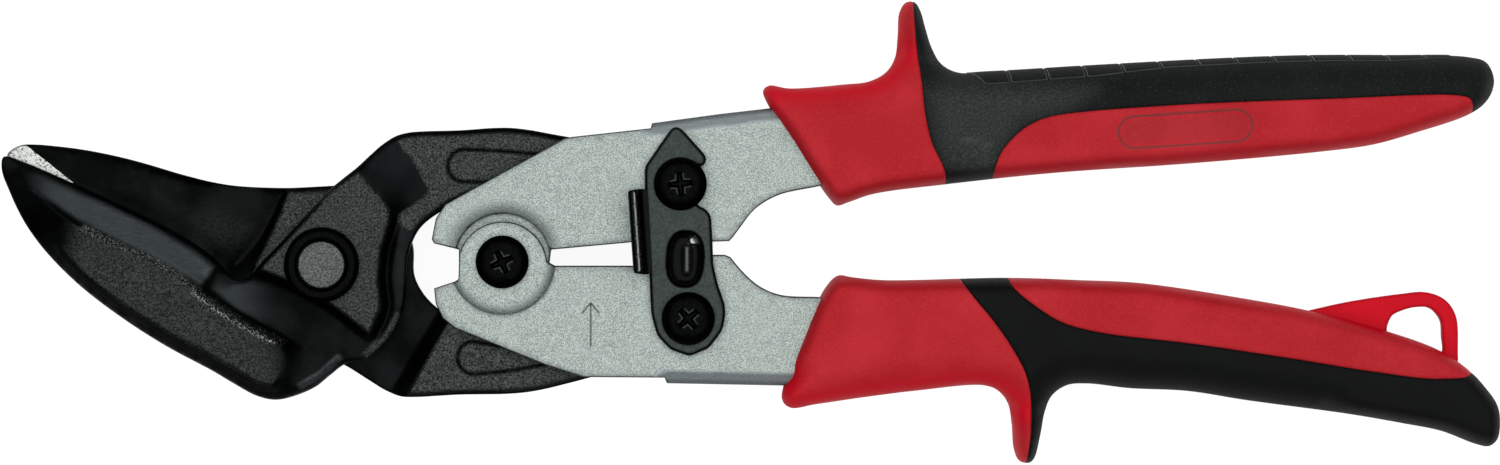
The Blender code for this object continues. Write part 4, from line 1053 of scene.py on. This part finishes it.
def handles():
    """The two stampings, each outlined from its nose round by the disc and the grip's end of its web."""
    inside_line = smooth_line([
        (104, 18.2), (90, 17), (65, 14.8), (35, 12), (20, 9.6), (12, 8), (5.3, 6.5), (1.3, 4.1),
        (-1.2, 1), (-2.6, -0.9),
    ], 1).tolist()
    nose = [(-50.8, -2.8), (-54.4, -1.9), (-54.8, -1.2), (-54.1, 2.4), (-52.5, 4.9), (-49.1, 6.8),
            (-31.8, 16.3), (-30.5, 16.6), (-16.8, 18.1)]
    edge = [(-3.2, -1.5), (-6.1, -1.6), (-20.1, -1.7), (-34.3, -3)]
    disc = arc(HANDLE_PIVOT, 8, 0, -164, 60) + [(-50.2, -6.8), (-50.2, -3.0)]
    outline = nose + UPPER_WEB + inside_line + edge + disc
    stamping(
        "upper_cheeks", "upper_handle", outline, [HANDLE_PIVOT, UPPER_LINK], UPPER_WEB, UPPER_DISC_FACE,
        (8.4, 10.8, False),
    )
    nose = [(-14.4, -25.2), (-28.4, -25.1), (-35.1, -23), (-50.8, -16.6), (-52.9, -14.9), (-54.1, -12.4),
            (-54.4, -9.7), (-50.8, -8.5), (-50.2, -8.1)]
    disc = arc((HANDLE_PIVOT[0], HANDLE_PIVOT[1] - 0.8), 7.8, 164, 6, 60)
    edge = [(-34.6, -5.3), (-33.7, -5.8), (-19.7, -5.8), (-6.1, -3.9), (-4, -3.9)]
    inside_line = smooth_line([
        (-3, -4.3), (-0.7, -7), (2.1, -9.4), (5.7, -10.9), (12.8, -11.3), (20, -11.7), (45, -11.5),
        (65, -12.2), (90, -15.6), (104, -19.4),
    ], 1).tolist()
    outline = nose + disc + edge + inside_line + LOWER_WEB[::-1]
    stamping(
        "lower_cheeks", "lower_handle", outline, [HANDLE_PIVOT, LOWER_LINK], LOWER_WEB, LOWER_DISC_FACE,
        (7.4, 9.2, True), arrow=True,
    )


# ---------------------------------------------------------------- fasteners and springs

SCREW_R = 2.4
SCREW_HEAD_R = 4.6
SCREW_HEAD_HEIGHT = 2.6
SCREW_NECK_R = 1.6
CROSS_REACH = 2.1
CROSS_HALF = 0.62
CROSS_DEPTH = 1.5


def cross_loop(centre, reach, half, turn_deg):
    """The outline of a crossed recess with straight wings."""
    wing = [(half, half), (reach, half * 0.8), (reach, -half * 0.8), (half, -half)]
    wings = [turned_about(centre, wing, turn_deg - 90 * quarter) for quarter in range(4)]
    return straight_line(sum(wings, []), 0.2, closed=True)


def screw(name, node, axis, seat, tip, turn_deg, neck=None):
    """A button head screw with a crossed recess, and its shank below."""
    edge = circle(axis, SCREW_HEAD_R, 96)
    recess = cross_loop(axis, CROSS_REACH, CROSS_HALF, turn_deg)
    inner = closed_path(moved_in(recess, 0.18))
    flat, faces = triangulated([edge], 0.3, (0.05, 0.18, 0.4, 0.7), [closed_path(recess)], [inner])
    radius = np.linalg.norm(flat - axis, axis=1) / SCREW_HEAD_R
    dome = SCREW_HEAD_HEIGHT * (1 - 0.3 * radius**2 - 0.25 * radius**8)
    depth = depth_in(flat, recess)
    deep = CROSS_DEPTH * eased(depth / 0.35) * (1 - 0.35 * radius)
    high = seat + dome - rounding(distance(flat, edge), 0.5) * 0.6 - deep
    glint = 0.5 * stroke(flat, recess, 0.5, closed=True) * (radius < 0.4)
    head = closed_mesh(flat, faces, high, np.full(len(flat), float(seat)), {"glint": glint})
    if neck:
        shank = [(0, seat + 0.1), (SCREW_NECK_R, seat + 0.1), (SCREW_NECK_R, neck), (SCREW_R, neck)]
    else:
        shank = [(0, seat), (SCREW_R, seat)]
    shank += [(SCREW_R, tip + 0.5), (SCREW_R - 0.5, tip), (0, tip)]
    shells = [head, turned(axis, shank[::-1], 48)]
    piece(name, node, black_steel(), shells, sharp=35)


def hex_nut(name, node, axis, top):
    """A chamfered hexagon nut with a bore."""
    across, height = 8.0, 2.4
    corners = arc(axis, across / math.sqrt(3), 0, 300, 5)
    outline = straight_line(corners, 0.4, closed=True)
    bore = circle(axis, SCREW_HOLE_R, 60)
    flat, faces = triangulated([outline, bore], 0.45, (0.15,), [], [circle(axis, across / 2 - 0.15, 72)])
    radius = np.linalg.norm(flat - axis, axis=1)
    chamfer = np.maximum(radius - across / 2 + 0.15, 0) * 0.6
    chamfer = chamfer + 0.4 * eased(1 - (radius - SCREW_HOLE_R) / 0.35)
    shell = closed_mesh(flat, faces, top - chamfer, top - height + chamfer)
    piece(name, node, black_steel(), [shell], sharp=25)


def collar(name, node, axis, profile, finish, radius=0.25):
    """A turned ring or bolt on a vertical axis."""
    piece(name, node, finish, [turned(axis, rounded_profile(profile, radius))], sharp=50)


def fasteners():
    """The screws, nuts and spacers of three pivots, and the blades' bolt with its nut and washer."""
    screw("handle_pivot_button_screw", "handle_pivot_screw", HANDLE_PIVOT, 5.1, -8.2, 24)
    screw("upper_link_button_screw", "upper_link_screw", UPPER_LINK, 7.8, -8.6, 6, neck=5.5)
    screw("lower_link_button_screw", "lower_link_screw", LOWER_LINK, 7.8, -8.6, 40)
    hex_nut("handle_pivot_hex_nut", "handle_pivot_nut", HANDLE_PIVOT, -5.1)
    hex_nut("upper_link_hex_nut", "upper_link_nut", UPPER_LINK, -5.7)
    hex_nut("lower_link_hex_nut", "lower_link_nut", LOWER_LINK, -5.7)
    for name, node, axis, outer, half in (
        ("handle_pivot_spacer", "handle_pivot_sleeve", HANDLE_PIVOT, 3.6, 1.0),
        ("upper_link_spacer", "upper_link_sleeve", UPPER_LINK, 4.0, 3.4),
        ("lower_link_spacer", "lower_link_sleeve", LOWER_LINK, 4.0, 3.4),
    ):
        tube_wall = [(SCREW_HOLE_R, -half), (outer, -half), (outer, half), (SCREW_HOLE_R, half)]
        collar(name, node, axis, tube_wall, grey_steel("turned_steel"))
    bolt = [(0, -9.8), (5.4, -9.8), (7, -9), (7, -7.7), (4.1, -7.7), (4.1, 8.1), (0, 8.1)]
    collar("blade_pivot_bolt", "blade_bolt", BLADE_PIVOT, bolt, grey_steel("bolt_steel"), 0.35)
    nut = [(4.4, 6.6), (6.5, 6.6), (6.5, 7.35), (5.7, 7.9), (4.7, 7.9), (4.4, 7.6)]
    collar("blade_ring_nut", "blade_nut", BLADE_PIVOT, nut, black_steel(), 0.2)
    washer = [(4.4, -7.4), (7.2, -7.4), (7.2, -6.6), (4.4, -6.6)]
    collar("blade_back_washer", "blade_washer", BLADE_PIVOT, washer, black_steel(), 0.2)


def springs():
    """The hairpin between the handles and the wire that holds the latch."""
    bend = lifted(arc(HANDLE_PIVOT, 4.7, 100, 260, 20), 0)
    path = smooth_line([(-20, 1, 0), (-26, 0.9, 0), (-32, 0.7, 0)], 0.8).tolist()
    path += smooth_line([
        (-32, 0.7, 0), (-38, 0.4, 0), *bend, (-38, -10.4, 0), (-32, -9.9, 0),
    ], 0.7).tolist()[1:]
    path += smooth_line([(-32, -9.9, 0), (-26, -9.2, 0), (-20, -8.4, 0)], 0.8).tolist()[1:]
    wire = grey_steel("spring_wire")
    piece("handle_opening_spring", "return_spring", wire, [tube(path, 0.8)])
    rod = [(-10.9, -2.4, 2.2), (-10.9, -4.4, 2.2), (-10.9, -6.2, 2.2)]
    turn = lifted(arc((-9.85, -6.2), 1.05, 190, 350, 8), 2.2)
    rise = [(-8.8, -6, 2.2), (-8.8, -3.2, 2.3), (-8.8, -2.4, 3), (-8.8, -2.2, 4), (-8.8, -2.1, 4.6)]
    hook = smooth_line([*rod, *turn, *rise], 0.3)
    piece("latch_detent_spring", "latch_spring", wire, [tube(hook, 0.62)])


# ---------------------------------------------------------------- latch

LATCH_BACK = 5.7
LATCH_FACE = 7.5
LATCH_FLANGE_TOP = 12.0
LATCH_FLANGE_WALL = 1.8
LATCH_FILLET_R = 1.1
WINDOW_CENTRE = (-10.8, -4.6)
WINDOW_HALF = (2.95, 4.6)
WINDOW_SQUARENESS = 0.78  # 1 would make the window an ellipse
WINDOW_LEAN = 0.05
WINDOW_RINGS = (-0.6, -0.42, -0.2, 0.12, 0.5, 0.9)
FLANGE_ROWS = (
    0.2, 0.55, 0.9, 1.02, 1.15, 1.3, 1.6, LATCH_FLANGE_WALL - 0.03, LATCH_FLANGE_WALL + 0.03, 2.1, 2.5, 3,
)


def relaxed(loop, passes):
    """A closed loop with its corners rounded off by averaging neighbours."""
    for _ in range(passes):
        loop = loop / 2 + (np.roll(loop, 1, axis=0) + np.roll(loop, -1, axis=0)) / 4
    return loop


def latch_window():
    """The outline of the latch's long window."""
    angles = np.linspace(0, 2 * math.pi, 64, endpoint=False)
    x, y = (
        half * np.sign(wave) * np.abs(wave) ** WINDOW_SQUARENESS
        for half, wave in zip(WINDOW_HALF, (np.cos(angles), np.sin(angles)))
    )
    return np.stack([WINDOW_CENTRE[0] + x + WINDOW_LEAN * y, WINDOW_CENTRE[1] + y - WINDOW_LEAN * x], axis=1)


def hook_plate():
    """The flat plate of the latch, with a blind well for a window, laid dark as painted shade, and the wire end in
    it.
    """
    hook = [
        (-7.6, 11.4), (-7, 12.6), (-7.3, 13.4), (-11.5, 18.1), (-12.4, 18.5), (-13.2, 18.1),
        (-17.8, 11.4), (-17.8, 8),
    ]
    foot = [(-17, -7.4), (-16.7, -14.1), (-15.7, -17.8), (-13.4, -20.3), (-10, -21.5), (-6.6, -20),
            (-4.3, -16.9), (-3.8, -14.4), (-3.9, -12.6), (-5.2, -8.7), (-5.9, -5.6), (-6.05, -1.3),
            (-6.3, 2.9), (-7.2, 4.1), (-8.5, 4.6)]
    mouth = arc(UPPER_LINK, 3.4, -50, -290, 16)
    outline = relaxed(straight_line([*hook, *foot, *mouth], 0.3, closed=True), 6)
    window = latch_window()
    loops = [outline, circle(LOWER_LINK, SCREW_HOLE_R, 48)]
    rings = [moved_in(window, depth) for depth in WINDOW_RINGS]
    flat, faces = triangulated(loops, 0.45, (0.06, 0.2, 0.42, 0.7), [closed_path(window)], rings)
    edge = distance(flat, outline)
    depth = depth_in(flat, window)
    high = LATCH_FACE - rounding(np.minimum(edge, np.abs(depth)), 0.55)
    floor = LATCH_BACK + 0.3 + 0.5 * (1 - eased(depth / 1.1))
    high = np.where(depth > 0.05, floor, high)
    rod = straight_line([(-10.5, -2.8), (-10.5, -6.6)], 0.3)
    high += np.where(depth > 0.3, 0.7 * stroke(flat, rod, 2.4), 0)
    low = LATCH_BACK + rounding(edge, 0.25)
    # painted shade: the rolled edges and the whole window well are laid dark
    from_dark = np.minimum(edge, np.where(depth > 0, 0, -depth))
    dark = np.maximum(1 - eased((from_dark - 0.35) / 0.25), 0)
    peg = eased(2 * stroke(flat, [(-9.5, -1.4), (-8.6, -1.3)], 2.0)) * (depth > 0.1)
    high += np.where(depth > 0.2, 1.1 * peg, 0)
    glints = 0.2 * stroke(flat, rod, 1.9) * (depth > 0) + peg
    return closed_mesh(flat, faces, high, low, {"worn_edge": dark, "glint": np.clip(glints, 0, 1)})


def thumb_flange():
    """The wall along the left side of the latch, with a fillet where it rises from the plate."""
    corners = [(-20.7, 7.2), (-19.7, -7), (-17.4, -7.3), (-16.5, -6.9), (-17.3, 7.4), (-18.4, 7.6)]
    strip = relaxed(straight_line(corners, 0.25, closed=True), 3)
    start, end = np.array(corners[0]), np.array(corners[1])
    along = (end - start) / np.linalg.norm(end - start)
    across = np.array([-along[1], along[0]])
    wall = LATCH_FLANGE_WALL
    rows = [straight_line([start + across * u - along, end + across * u + along]) for u in FLANGE_ROWS]
    flat, faces = triangulated([strip], 0.4, (0.1, 0.3), free=rows)
    u = (flat - start) @ across
    ends = distance(flat, strip)
    top = LATCH_FLANGE_TOP - rounding(np.clip(np.minimum(u, wall - u), 0, None), 0.85) - rounding(ends, 0.3)
    curve = 1 - np.sqrt(1 - np.clip(1 - (u - wall) / LATCH_FILLET_R, 0, 1) ** 2)
    high = np.where(u < wall, top, LATCH_FACE + 0.05 + LATCH_FILLET_R * curve)
    glint = 0.8 * (1 - eased(np.abs(u - 1.15) / 0.22)) * (ends > 0.5)
    # painted shade: the whole flange is laid near-black
    marks = {"worn_edge": np.ones(len(flat)), "glint": glint}
    return closed_mesh(flat, faces, high, np.full(len(flat), LATCH_BACK + 0.25), marks)


def latch():
    """The hook plate with its window and the thumb flange along its left side."""
    shells = [hook_plate(), thumb_flange()]
    piece("latch_hook_plate", "latch", latch_steel(), shells, sharp=42)


# ---------------------------------------------------------------- grips

GRIP_EDGE_HALF = 1.5
UPPER_GRIP = [
    (2.7, 24.7), (3.8, 25.6), (7.2, 25.1), (16.9, 25.8), (21.1, 26.3), (24.1, 27.9), (25.7, 30.4),
    (26.2, 34.2), (26.5, 38.4), (27.6, 40.1), (29.1, 40.1), (30.1, 38.6), (31, 35.5), (32.1, 32.1),
    (33.7, 29.4), (36.5, 27.9), (42, 28), (58.9, 29), (85.4, 30.4), (98.4, 30.8), (111.7, 30.8),
    (125.2, 30.6), (128.5, 29.7), (129.8, 27.4), (129.9, 25.3), (128.5, 22.7), (125.7, 20.6),
    (116.4, 17.4), (108.9, 15.3), (100, 14.1), (76.6, 12), (53.6, 10.4), (34.6, 8.4), (21.9, 6.7),
    (17.7, 5.3), (15.6, 4.7), (14.2, 6), (8.6, 14.6),
]
UPPER_COVER = [
    (28.7, 46), (28.7, 40.1), (29.3, 32.1), (30.2, 25.8), (30.8, 20.3), (31.9, 15.6), (34, 11), (34.4, 8.6),
    (34.4, 4), (42.6, 4), (42.6, 9.5), (43.5, 13.1), (45.2, 15.6), (48.1, 18.2), (51.5, 19.8), (54.9, 20.5),
    (73.4, 22), (100, 23.1), (122.9, 23.7), (125, 23.1), (125.8, 21), (127, 14), (137, 14), (137, 40),
]
LOWER_GRIP = [
    (15.8, -7.5), (18.3, -7.8), (23.6, -8.3), (45.4, -7.9), (58, -8.3), (68.4, -8.8), (86, -11.4),
    (97.7, -13.6), (111.7, -17.3), (120.6, -20.6), (125.7, -24.1), (128.5, -27.1), (130.4, -29.9),
    (130.9, -32.7), (130.4, -36), (129, -37.2), (127.1, -36.9), (121, -34.6), (114, -33.2), (104.7, -31.6),
    (86.9, -29.2), (76.6, -27.6), (66.4, -27.1), (59.2, -26.3), (55.6, -26.6), (53, -28.4), (51.8, -31.1),
    (51, -35.1), (49.9, -39.3), (49, -40.1), (47.4, -39.8), (46.5, -37.8), (46.1, -33.3), (45.4, -29.7),
    (43.6, -27.5), (41, -26.6), (29.8, -27.5), (20.9, -28.6), (12, -29.9), (7.4, -30.5), (6, -29),
    (9.6, -18.4), (13.6, -9.6),
]
LOWER_COVER = [
    (37, -3), (37, -8), (38.7, -10.6), (42.7, -15.5), (45.8, -20), (48.1, -24.4), (49.1, -28.9),
    (49, -35.1), (48.3, -40), (48, -46), (137, -46), (137, -20), (127, -20), (125.7, -24.3),
    (119.6, -25.3), (108.4, -24.1), (95.4, -22), (76.6, -19.2), (61, -17.3), (54.3, -15.5), (49.9, -12.8),
    (46.7, -10.2), (45.4, -8.2), (45.4, -3),
]
# The lines between a grip's inner and outer sides.
UPPER_MIDDLE = [(-10, 12), (15, 14), (60, 18.5), (128, 25), (140, 27)]
LOWER_MIDDLE = [(-10, -19), (15, -19), (60, -18), (128, -31), (140, -33)]
INNER_ROUND = 2.6
OUTER_ROUND = 6.2
MOUTH_ROUND = 2.2
FIN_ROUND = 2.6
CROWN = 0.35  # how far a grip's face falls from its middle to its edge
GRIP_RINGS = (0.05, 0.2, 0.5, 0.95, 1.5, 2.1, 2.9, 3.8, 5)
BADGE = ((75.7, 17.9), 11.6, 2.75, 3.8)  # centre, half length, half height and tilt in degrees
SEAM_SIDES = (-0.45, -0.2, 0.2, 0.45)
BADGE_RINGS = (-0.4, -0.2, 0, 0.2, 0.4, 1, 1.8)
SEAM_DEPTH = 0.3
BADGE_DEPTH = 0.18
CORE_INSET = 2.8  # the red core under the soft cover keeps this far from the grip's edge
CORE_SHARE = 0.7  # and is this much of its height


def runs_of(outline, tags):
    """The stretches of a closed outline that share a tag, each running on to the next one's first point."""
    first = next(i for i in range(len(tags)) if tags[i] != tags[i - 1])
    outline, tags = np.roll(outline, -first, axis=0), np.roll(tags, -first)
    ends = [i for i in range(1, len(tags)) if tags[i] != tags[i - 1]]
    closed = np.concatenate([outline, outline[:1]])
    return [(tags[a], closed[a:b + 1]) for a, b in zip([0, *ends], [*ends, len(tags)])]


def grip_form(points, middle, outward):
    """A grip's outline, and a function for its half height over the plan."""
    outline = smooth_line(points, 0.6, closed=True)
    level = np.interp(outline[:, 0], *np.array(middle).T)
    radius = np.where(outward * (outline[:, 1] - level) > 0, OUTER_ROUND, INNER_ROUND)
    radius = np.where(outward * outline[:, 1] > 31, FIN_ROUND, radius)
    radius = np.where((outline[:, 0] < 16) & (outward * outline[:, 1] < 25), MOUTH_ROUND, radius)
    runs = runs_of(outline, radius)

    def half(flat):
        full = np.ones(len(flat))
        for reach, line in runs:
            gap = distance(flat, line, closed=False)
            full *= np.sqrt(1 - (1 - np.clip(gap / reach, 0, 1)) ** 2)
        crown = CROWN * (1 - eased(distance(flat, outline) / 8))
        return GRIP_EDGE_HALF + (GRIP_HALF - GRIP_EDGE_HALF - crown) * full

    return outline, half


def oval(centre, length, height, tilt_deg):
    """A long oval with half-round ends."""
    reach = length - height
    points = arc((reach, 0), height, -90, 90, 14) + arc((-reach, 0), height, 90, 270, 14)
    return straight_line(turned_about(centre, points, tilt_deg), closed=True)


def grip(side, points, area_points, middle, outward, pads=()):
    """A hard red body and a soft black cover, in one form with a fine groove between them."""
    outline, half = grip_form(points, middle, outward)
    area = smooth_line(area_points, 0.5, closed=True)
    seam = closed_path(area)
    badge = oval(*BADGE)
    free = [beside(seam, SEAM_SIDES)]
    if side == "upper":
        free += [moved_in(badge, depth) for depth in BADGE_RINGS]
    flat, faces = triangulated([outline], 1.0, GRIP_RINGS, [seam], free)
    full = half(flat)
    thick = full - SEAM_DEPTH * stroke(flat, area, 0.7, closed=True)
    # painted light: the roll-off gets the flanks' brighter red, more the further it falls
    marks = {"flank": 1 - (full - GRIP_EDGE_HALF) / (GRIP_HALF - GRIP_EDGE_HALF)}
    if side == "upper":
        thick -= BADGE_DEPTH * marked(flat, badge, 0.3)
        ring = stroke(flat, badge, 0.6, closed=True)
        marks["printed"] = np.maximum(ring, 0.16 * marked(flat, moved_in(badge, 0.7), 0.5))
    middles = flat[faces].mean(axis=1)
    covered = inside(middles, area)
    core = covered & (distance(middles, outline) > CORE_INSET)
    shell = closed_mesh(flat, faces[~covered], thick, -thick, marks)
    body = [shell, closed_mesh(flat, faces[core], thick * CORE_SHARE, -thick * CORE_SHARE)]
    dust = marked(flat, [(31.5, 24), (34, 12), (42, 10), (47, 19), (56, 22), (60, 25), (34, 26)], 6)
    dust = 0.8 * dust + 0.9 * stroke(flat, [(37.2, 16.4), (39.3, 15.7), (42, 15.3)], 1.3)
    # the upper cover gets the dusty mark, and the lower cover is laid darker all over
    cover_marks = {"dusty": dust * (side == "upper"), "polished": np.full(len(flat), float(side == "lower"))}
    cover = [closed_mesh(flat, faces[covered], thick, -thick, cover_marks), *pads]
    piece(f"{side}_grip_moulding", f"{side}_grip_body", red_plastic(), body, sharp=60)
    piece(f"{side}_grip_soft_cover", f"{side}_grip_cover", black_rubber(), cover, sharp=60)


PAD_PITCH = 6.58
PAD_FIRST_GROOVE = 44.95
PAD_COUNT = 12
PAD_GROOVE = 0.3
PAD_PROUD = 0.15
PAD_ROOT = -0.6
PAD_EDGE_R = 0.25
PAD_START = 38.0
PAD_END = 122
PAD_REACHES = ([43, 60, 73, 112, 123.5], [2.5, 2.2, 1.25, 1.1, 0.3])  # places in x, and depths there


def pad_spot(back, x, s, margin):
    """The outer and inner points of a pad at x, a share s of the way round to its upper or lower side."""
    y = np.interp(x, back[:, 0], back[:, 1])
    slope = np.interp(x + 0.5, back[:, 0], back[:, 1]) - np.interp(x - 0.5, back[:, 0], back[:, 1])
    out = np.array([-slope, 1]) / math.hypot(slope, 1)
    widest = math.acos(max(-1, 1 - np.interp(x, *PAD_REACHES) / OUTER_ROUND))
    phi = widest * abs(s)
    rise = GRIP_HALF - CROWN - GRIP_EDGE_HALF
    spot = np.array([x, y]) - out * OUTER_ROUND * (1 - math.cos(phi))
    z = math.copysign(GRIP_EDGE_HALF * min(1, abs(s) * 4) + rise * math.sin(phi), s)
    normal = np.array([rise * math.cos(phi), math.copysign(OUTER_ROUND * math.sin(phi), s)])
    normal /= np.linalg.norm(normal)
    lift = PAD_PROUD - rounding(np.float64(margin), PAD_EDGE_R)
    return [[*(spot + out * normal[0] * offset), z + normal[1] * offset] for offset in (lift, PAD_ROOT)]


def tread_pads():
    """The raised pads along the outer edge of the upper grip, with a narrow groove between neighbours."""
    outline, _ = grip_form(UPPER_GRIP, UPPER_MIDDLE, 1)
    back = outline[(outline[:, 0] > 37) & (outline[:, 0] < 126) & (outline[:, 1] > 27)]
    back = back[np.argsort(back[:, 0])]
    starts = [PAD_START] + [PAD_FIRST_GROOVE + PAD_GROOVE / 2 + PAD_PITCH * n for n in range(PAD_COUNT)]
    ends = [PAD_FIRST_GROOVE - PAD_GROOVE / 2 + PAD_PITCH * n for n in range(PAD_COUNT)] + [PAD_END]
    across = np.linspace(-1, 1, 25)
    along = np.concatenate([[0, 0.03, 0.06], np.linspace(0.12, 0.88, 9), [0.94, 0.97, 1]])
    shells = []
    for number, (begin, end) in enumerate(zip(starts, ends)):
        bow = 3.2 if number == 0 else 0.55  # how far the pad's front corners lie behind its middle
        spots, edge_highlight = [], []
        for t in along:
            for s in across:
                x = begin + (end - begin) * t + (bow * abs(s) * (1 - t) + 0.55 * abs(s) * t)
                from_end, from_side = min(t, 1 - t), (1 - abs(s)) * 6
                spots.append(pad_spot(back, x, s, min(from_end * (end - begin), from_side)))
                # painted highlight: full on the pads' end rows, less near their sides
                edge_highlight.append(1 if from_end == 0 else 0.3 if from_side < 0.3 else 0)
        upper, lower = np.array(spots).transpose(1, 0, 2)
        shells.append((*patch(upper, lower, len(along), len(across)), {"worn": np.tile(edge_highlight, 2)}))
    return shells


def patch(upper, lower, rows, columns):
    """The points and faces of the closed form between two grids of points."""
    grid = np.arange(rows * columns).reshape(rows, columns)
    quads = np.stack([grid[:-1, :-1], grid[1:, :-1], grid[1:, 1:], grid[:-1, 1:]], axis=-1).reshape(-1, 4)
    rim = [*grid[0, :-1], *grid[:-1, -1], *grid[-1, :0:-1], *grid[:0:-1, 0]]
    total = rows * columns
    faces = quads.tolist() + (quads[:, ::-1] + total).tolist()
    faces += [[b, a, a + total, b + total] for a, b in zip(rim, rim[1:] + rim[:1])]
    return np.concatenate([upper, lower]), [[int(i) for i in face] for face in faces]


def hang_loop():
    """A flat eye with rounded edges, let into the rear end of the lower grip."""
    top = smooth_line([
        (97, -13.8), (104.7, -12.1), (114, -10.7), (118.2, -10.4), (121.5, -11.7), (123.4, -14.5),
        (123.8, -22),
    ])
    foot = straight_line([
        (123.8, -22), (123.6, -24.6), (119.5, -22.6), (111, -19.4), (97, -15.6), (97, -13.8),
    ])
    outline = np.concatenate([top[:-1], foot[:-1]])
    eye = smooth_line([
        (111.5, -17.5), (112.2, -14.6), (114, -13.6), (116.4, -13), (118.9, -13.2), (120.7, -15.2),
        (121, -18), (121, -20.9), (116, -19.1),
    ], closed=True)
    flat, faces = triangulated([outline, eye], 0.6, (0.05, 0.2, 0.45, 0.7))
    edge = np.minimum(distance(flat, outline), distance(flat, eye))
    half = 1.8 - rounding(edge, 0.7)
    # painted light: the loop takes a share of the flanks' brighter red all over
    shell = closed_mesh(flat, faces, half, -half, {"flank": np.full(len(flat), 0.35)})
    piece("grip_hanging_eye", "hang_loop", red_plastic(), [shell], sharp=60)


# ---------------------------------------------------------------- stage

VIEW_WIDTH = 0.26157  # the width of the picture at the plane between the blades
LENS = 150.0
SENSOR = 36.0
FLOOR = -0.0015
LIGHT_PLACE = (0, 0.15, 1.6)
AIM_X = -0.00006  # the photograph's middle, from the tool's


def stage():
    """A white floor under a large soft light, and a camera straight above."""
    look = Finish(
        "white_floor", Base_Color=(0.2, 0.2, 0.2), Roughness=0.9, Specular_IOR_Level=0.0,
        Emission_Color=(1, 1, 1), Emission_Strength=0.9,
    )
    bpy.ops.mesh.primitive_plane_add(size=12, location=(0, 0, FLOOR))
    floor = bpy.context.object
    floor.name = "studio_floor"
    floor.data.materials.append(look.material)

    light = bpy.data.lights.new("overhead_light", "AREA")
    light.shape = "SQUARE"
    light.size = 2.4
    light.energy = 50.0
    lamp = bpy.data.objects.new("overhead_light", light)
    lamp.location = LIGHT_PLACE
    lamp.rotation_euler = Vector(LIGHT_PLACE).to_track_quat("Z", "Y").to_euler()
    bpy.context.scene.collection.objects.link(lamp)

    world = bpy.data.worlds.new("studio")
    world.use_nodes = True
    backdrop = world.node_tree.nodes["Background"]
    backdrop.inputs["Color"].default_value = (1, 1, 1, 1)
    backdrop.inputs["Strength"].default_value = 0.15
    bpy.context.scene.world = world
    bpy.context.scene.view_settings.view_transform = "Standard"

    camera = bpy.data.objects.new("camera", bpy.data.cameras.new("camera"))
    camera.data.lens = LENS
    camera.data.sensor_width = SENSOR
    camera.location = (AIM_X, 0, GRIP_HALF * MM + VIEW_WIDTH * LENS / SENSOR)
    bpy.context.scene.collection.objects.link(camera)
    bpy.context.scene.camera = camera


front_forging()
rear_forging()
handles()
fasteners()
springs()
latch()
grip("upper", UPPER_GRIP, UPPER_COVER, UPPER_MIDDLE, 1, tread_pads())
grip("lower", LOWER_GRIP, LOWER_COVER, LOWER_MIDDLE, -1)
hang_loop()
stage()

bpy.context.view_layer.update()
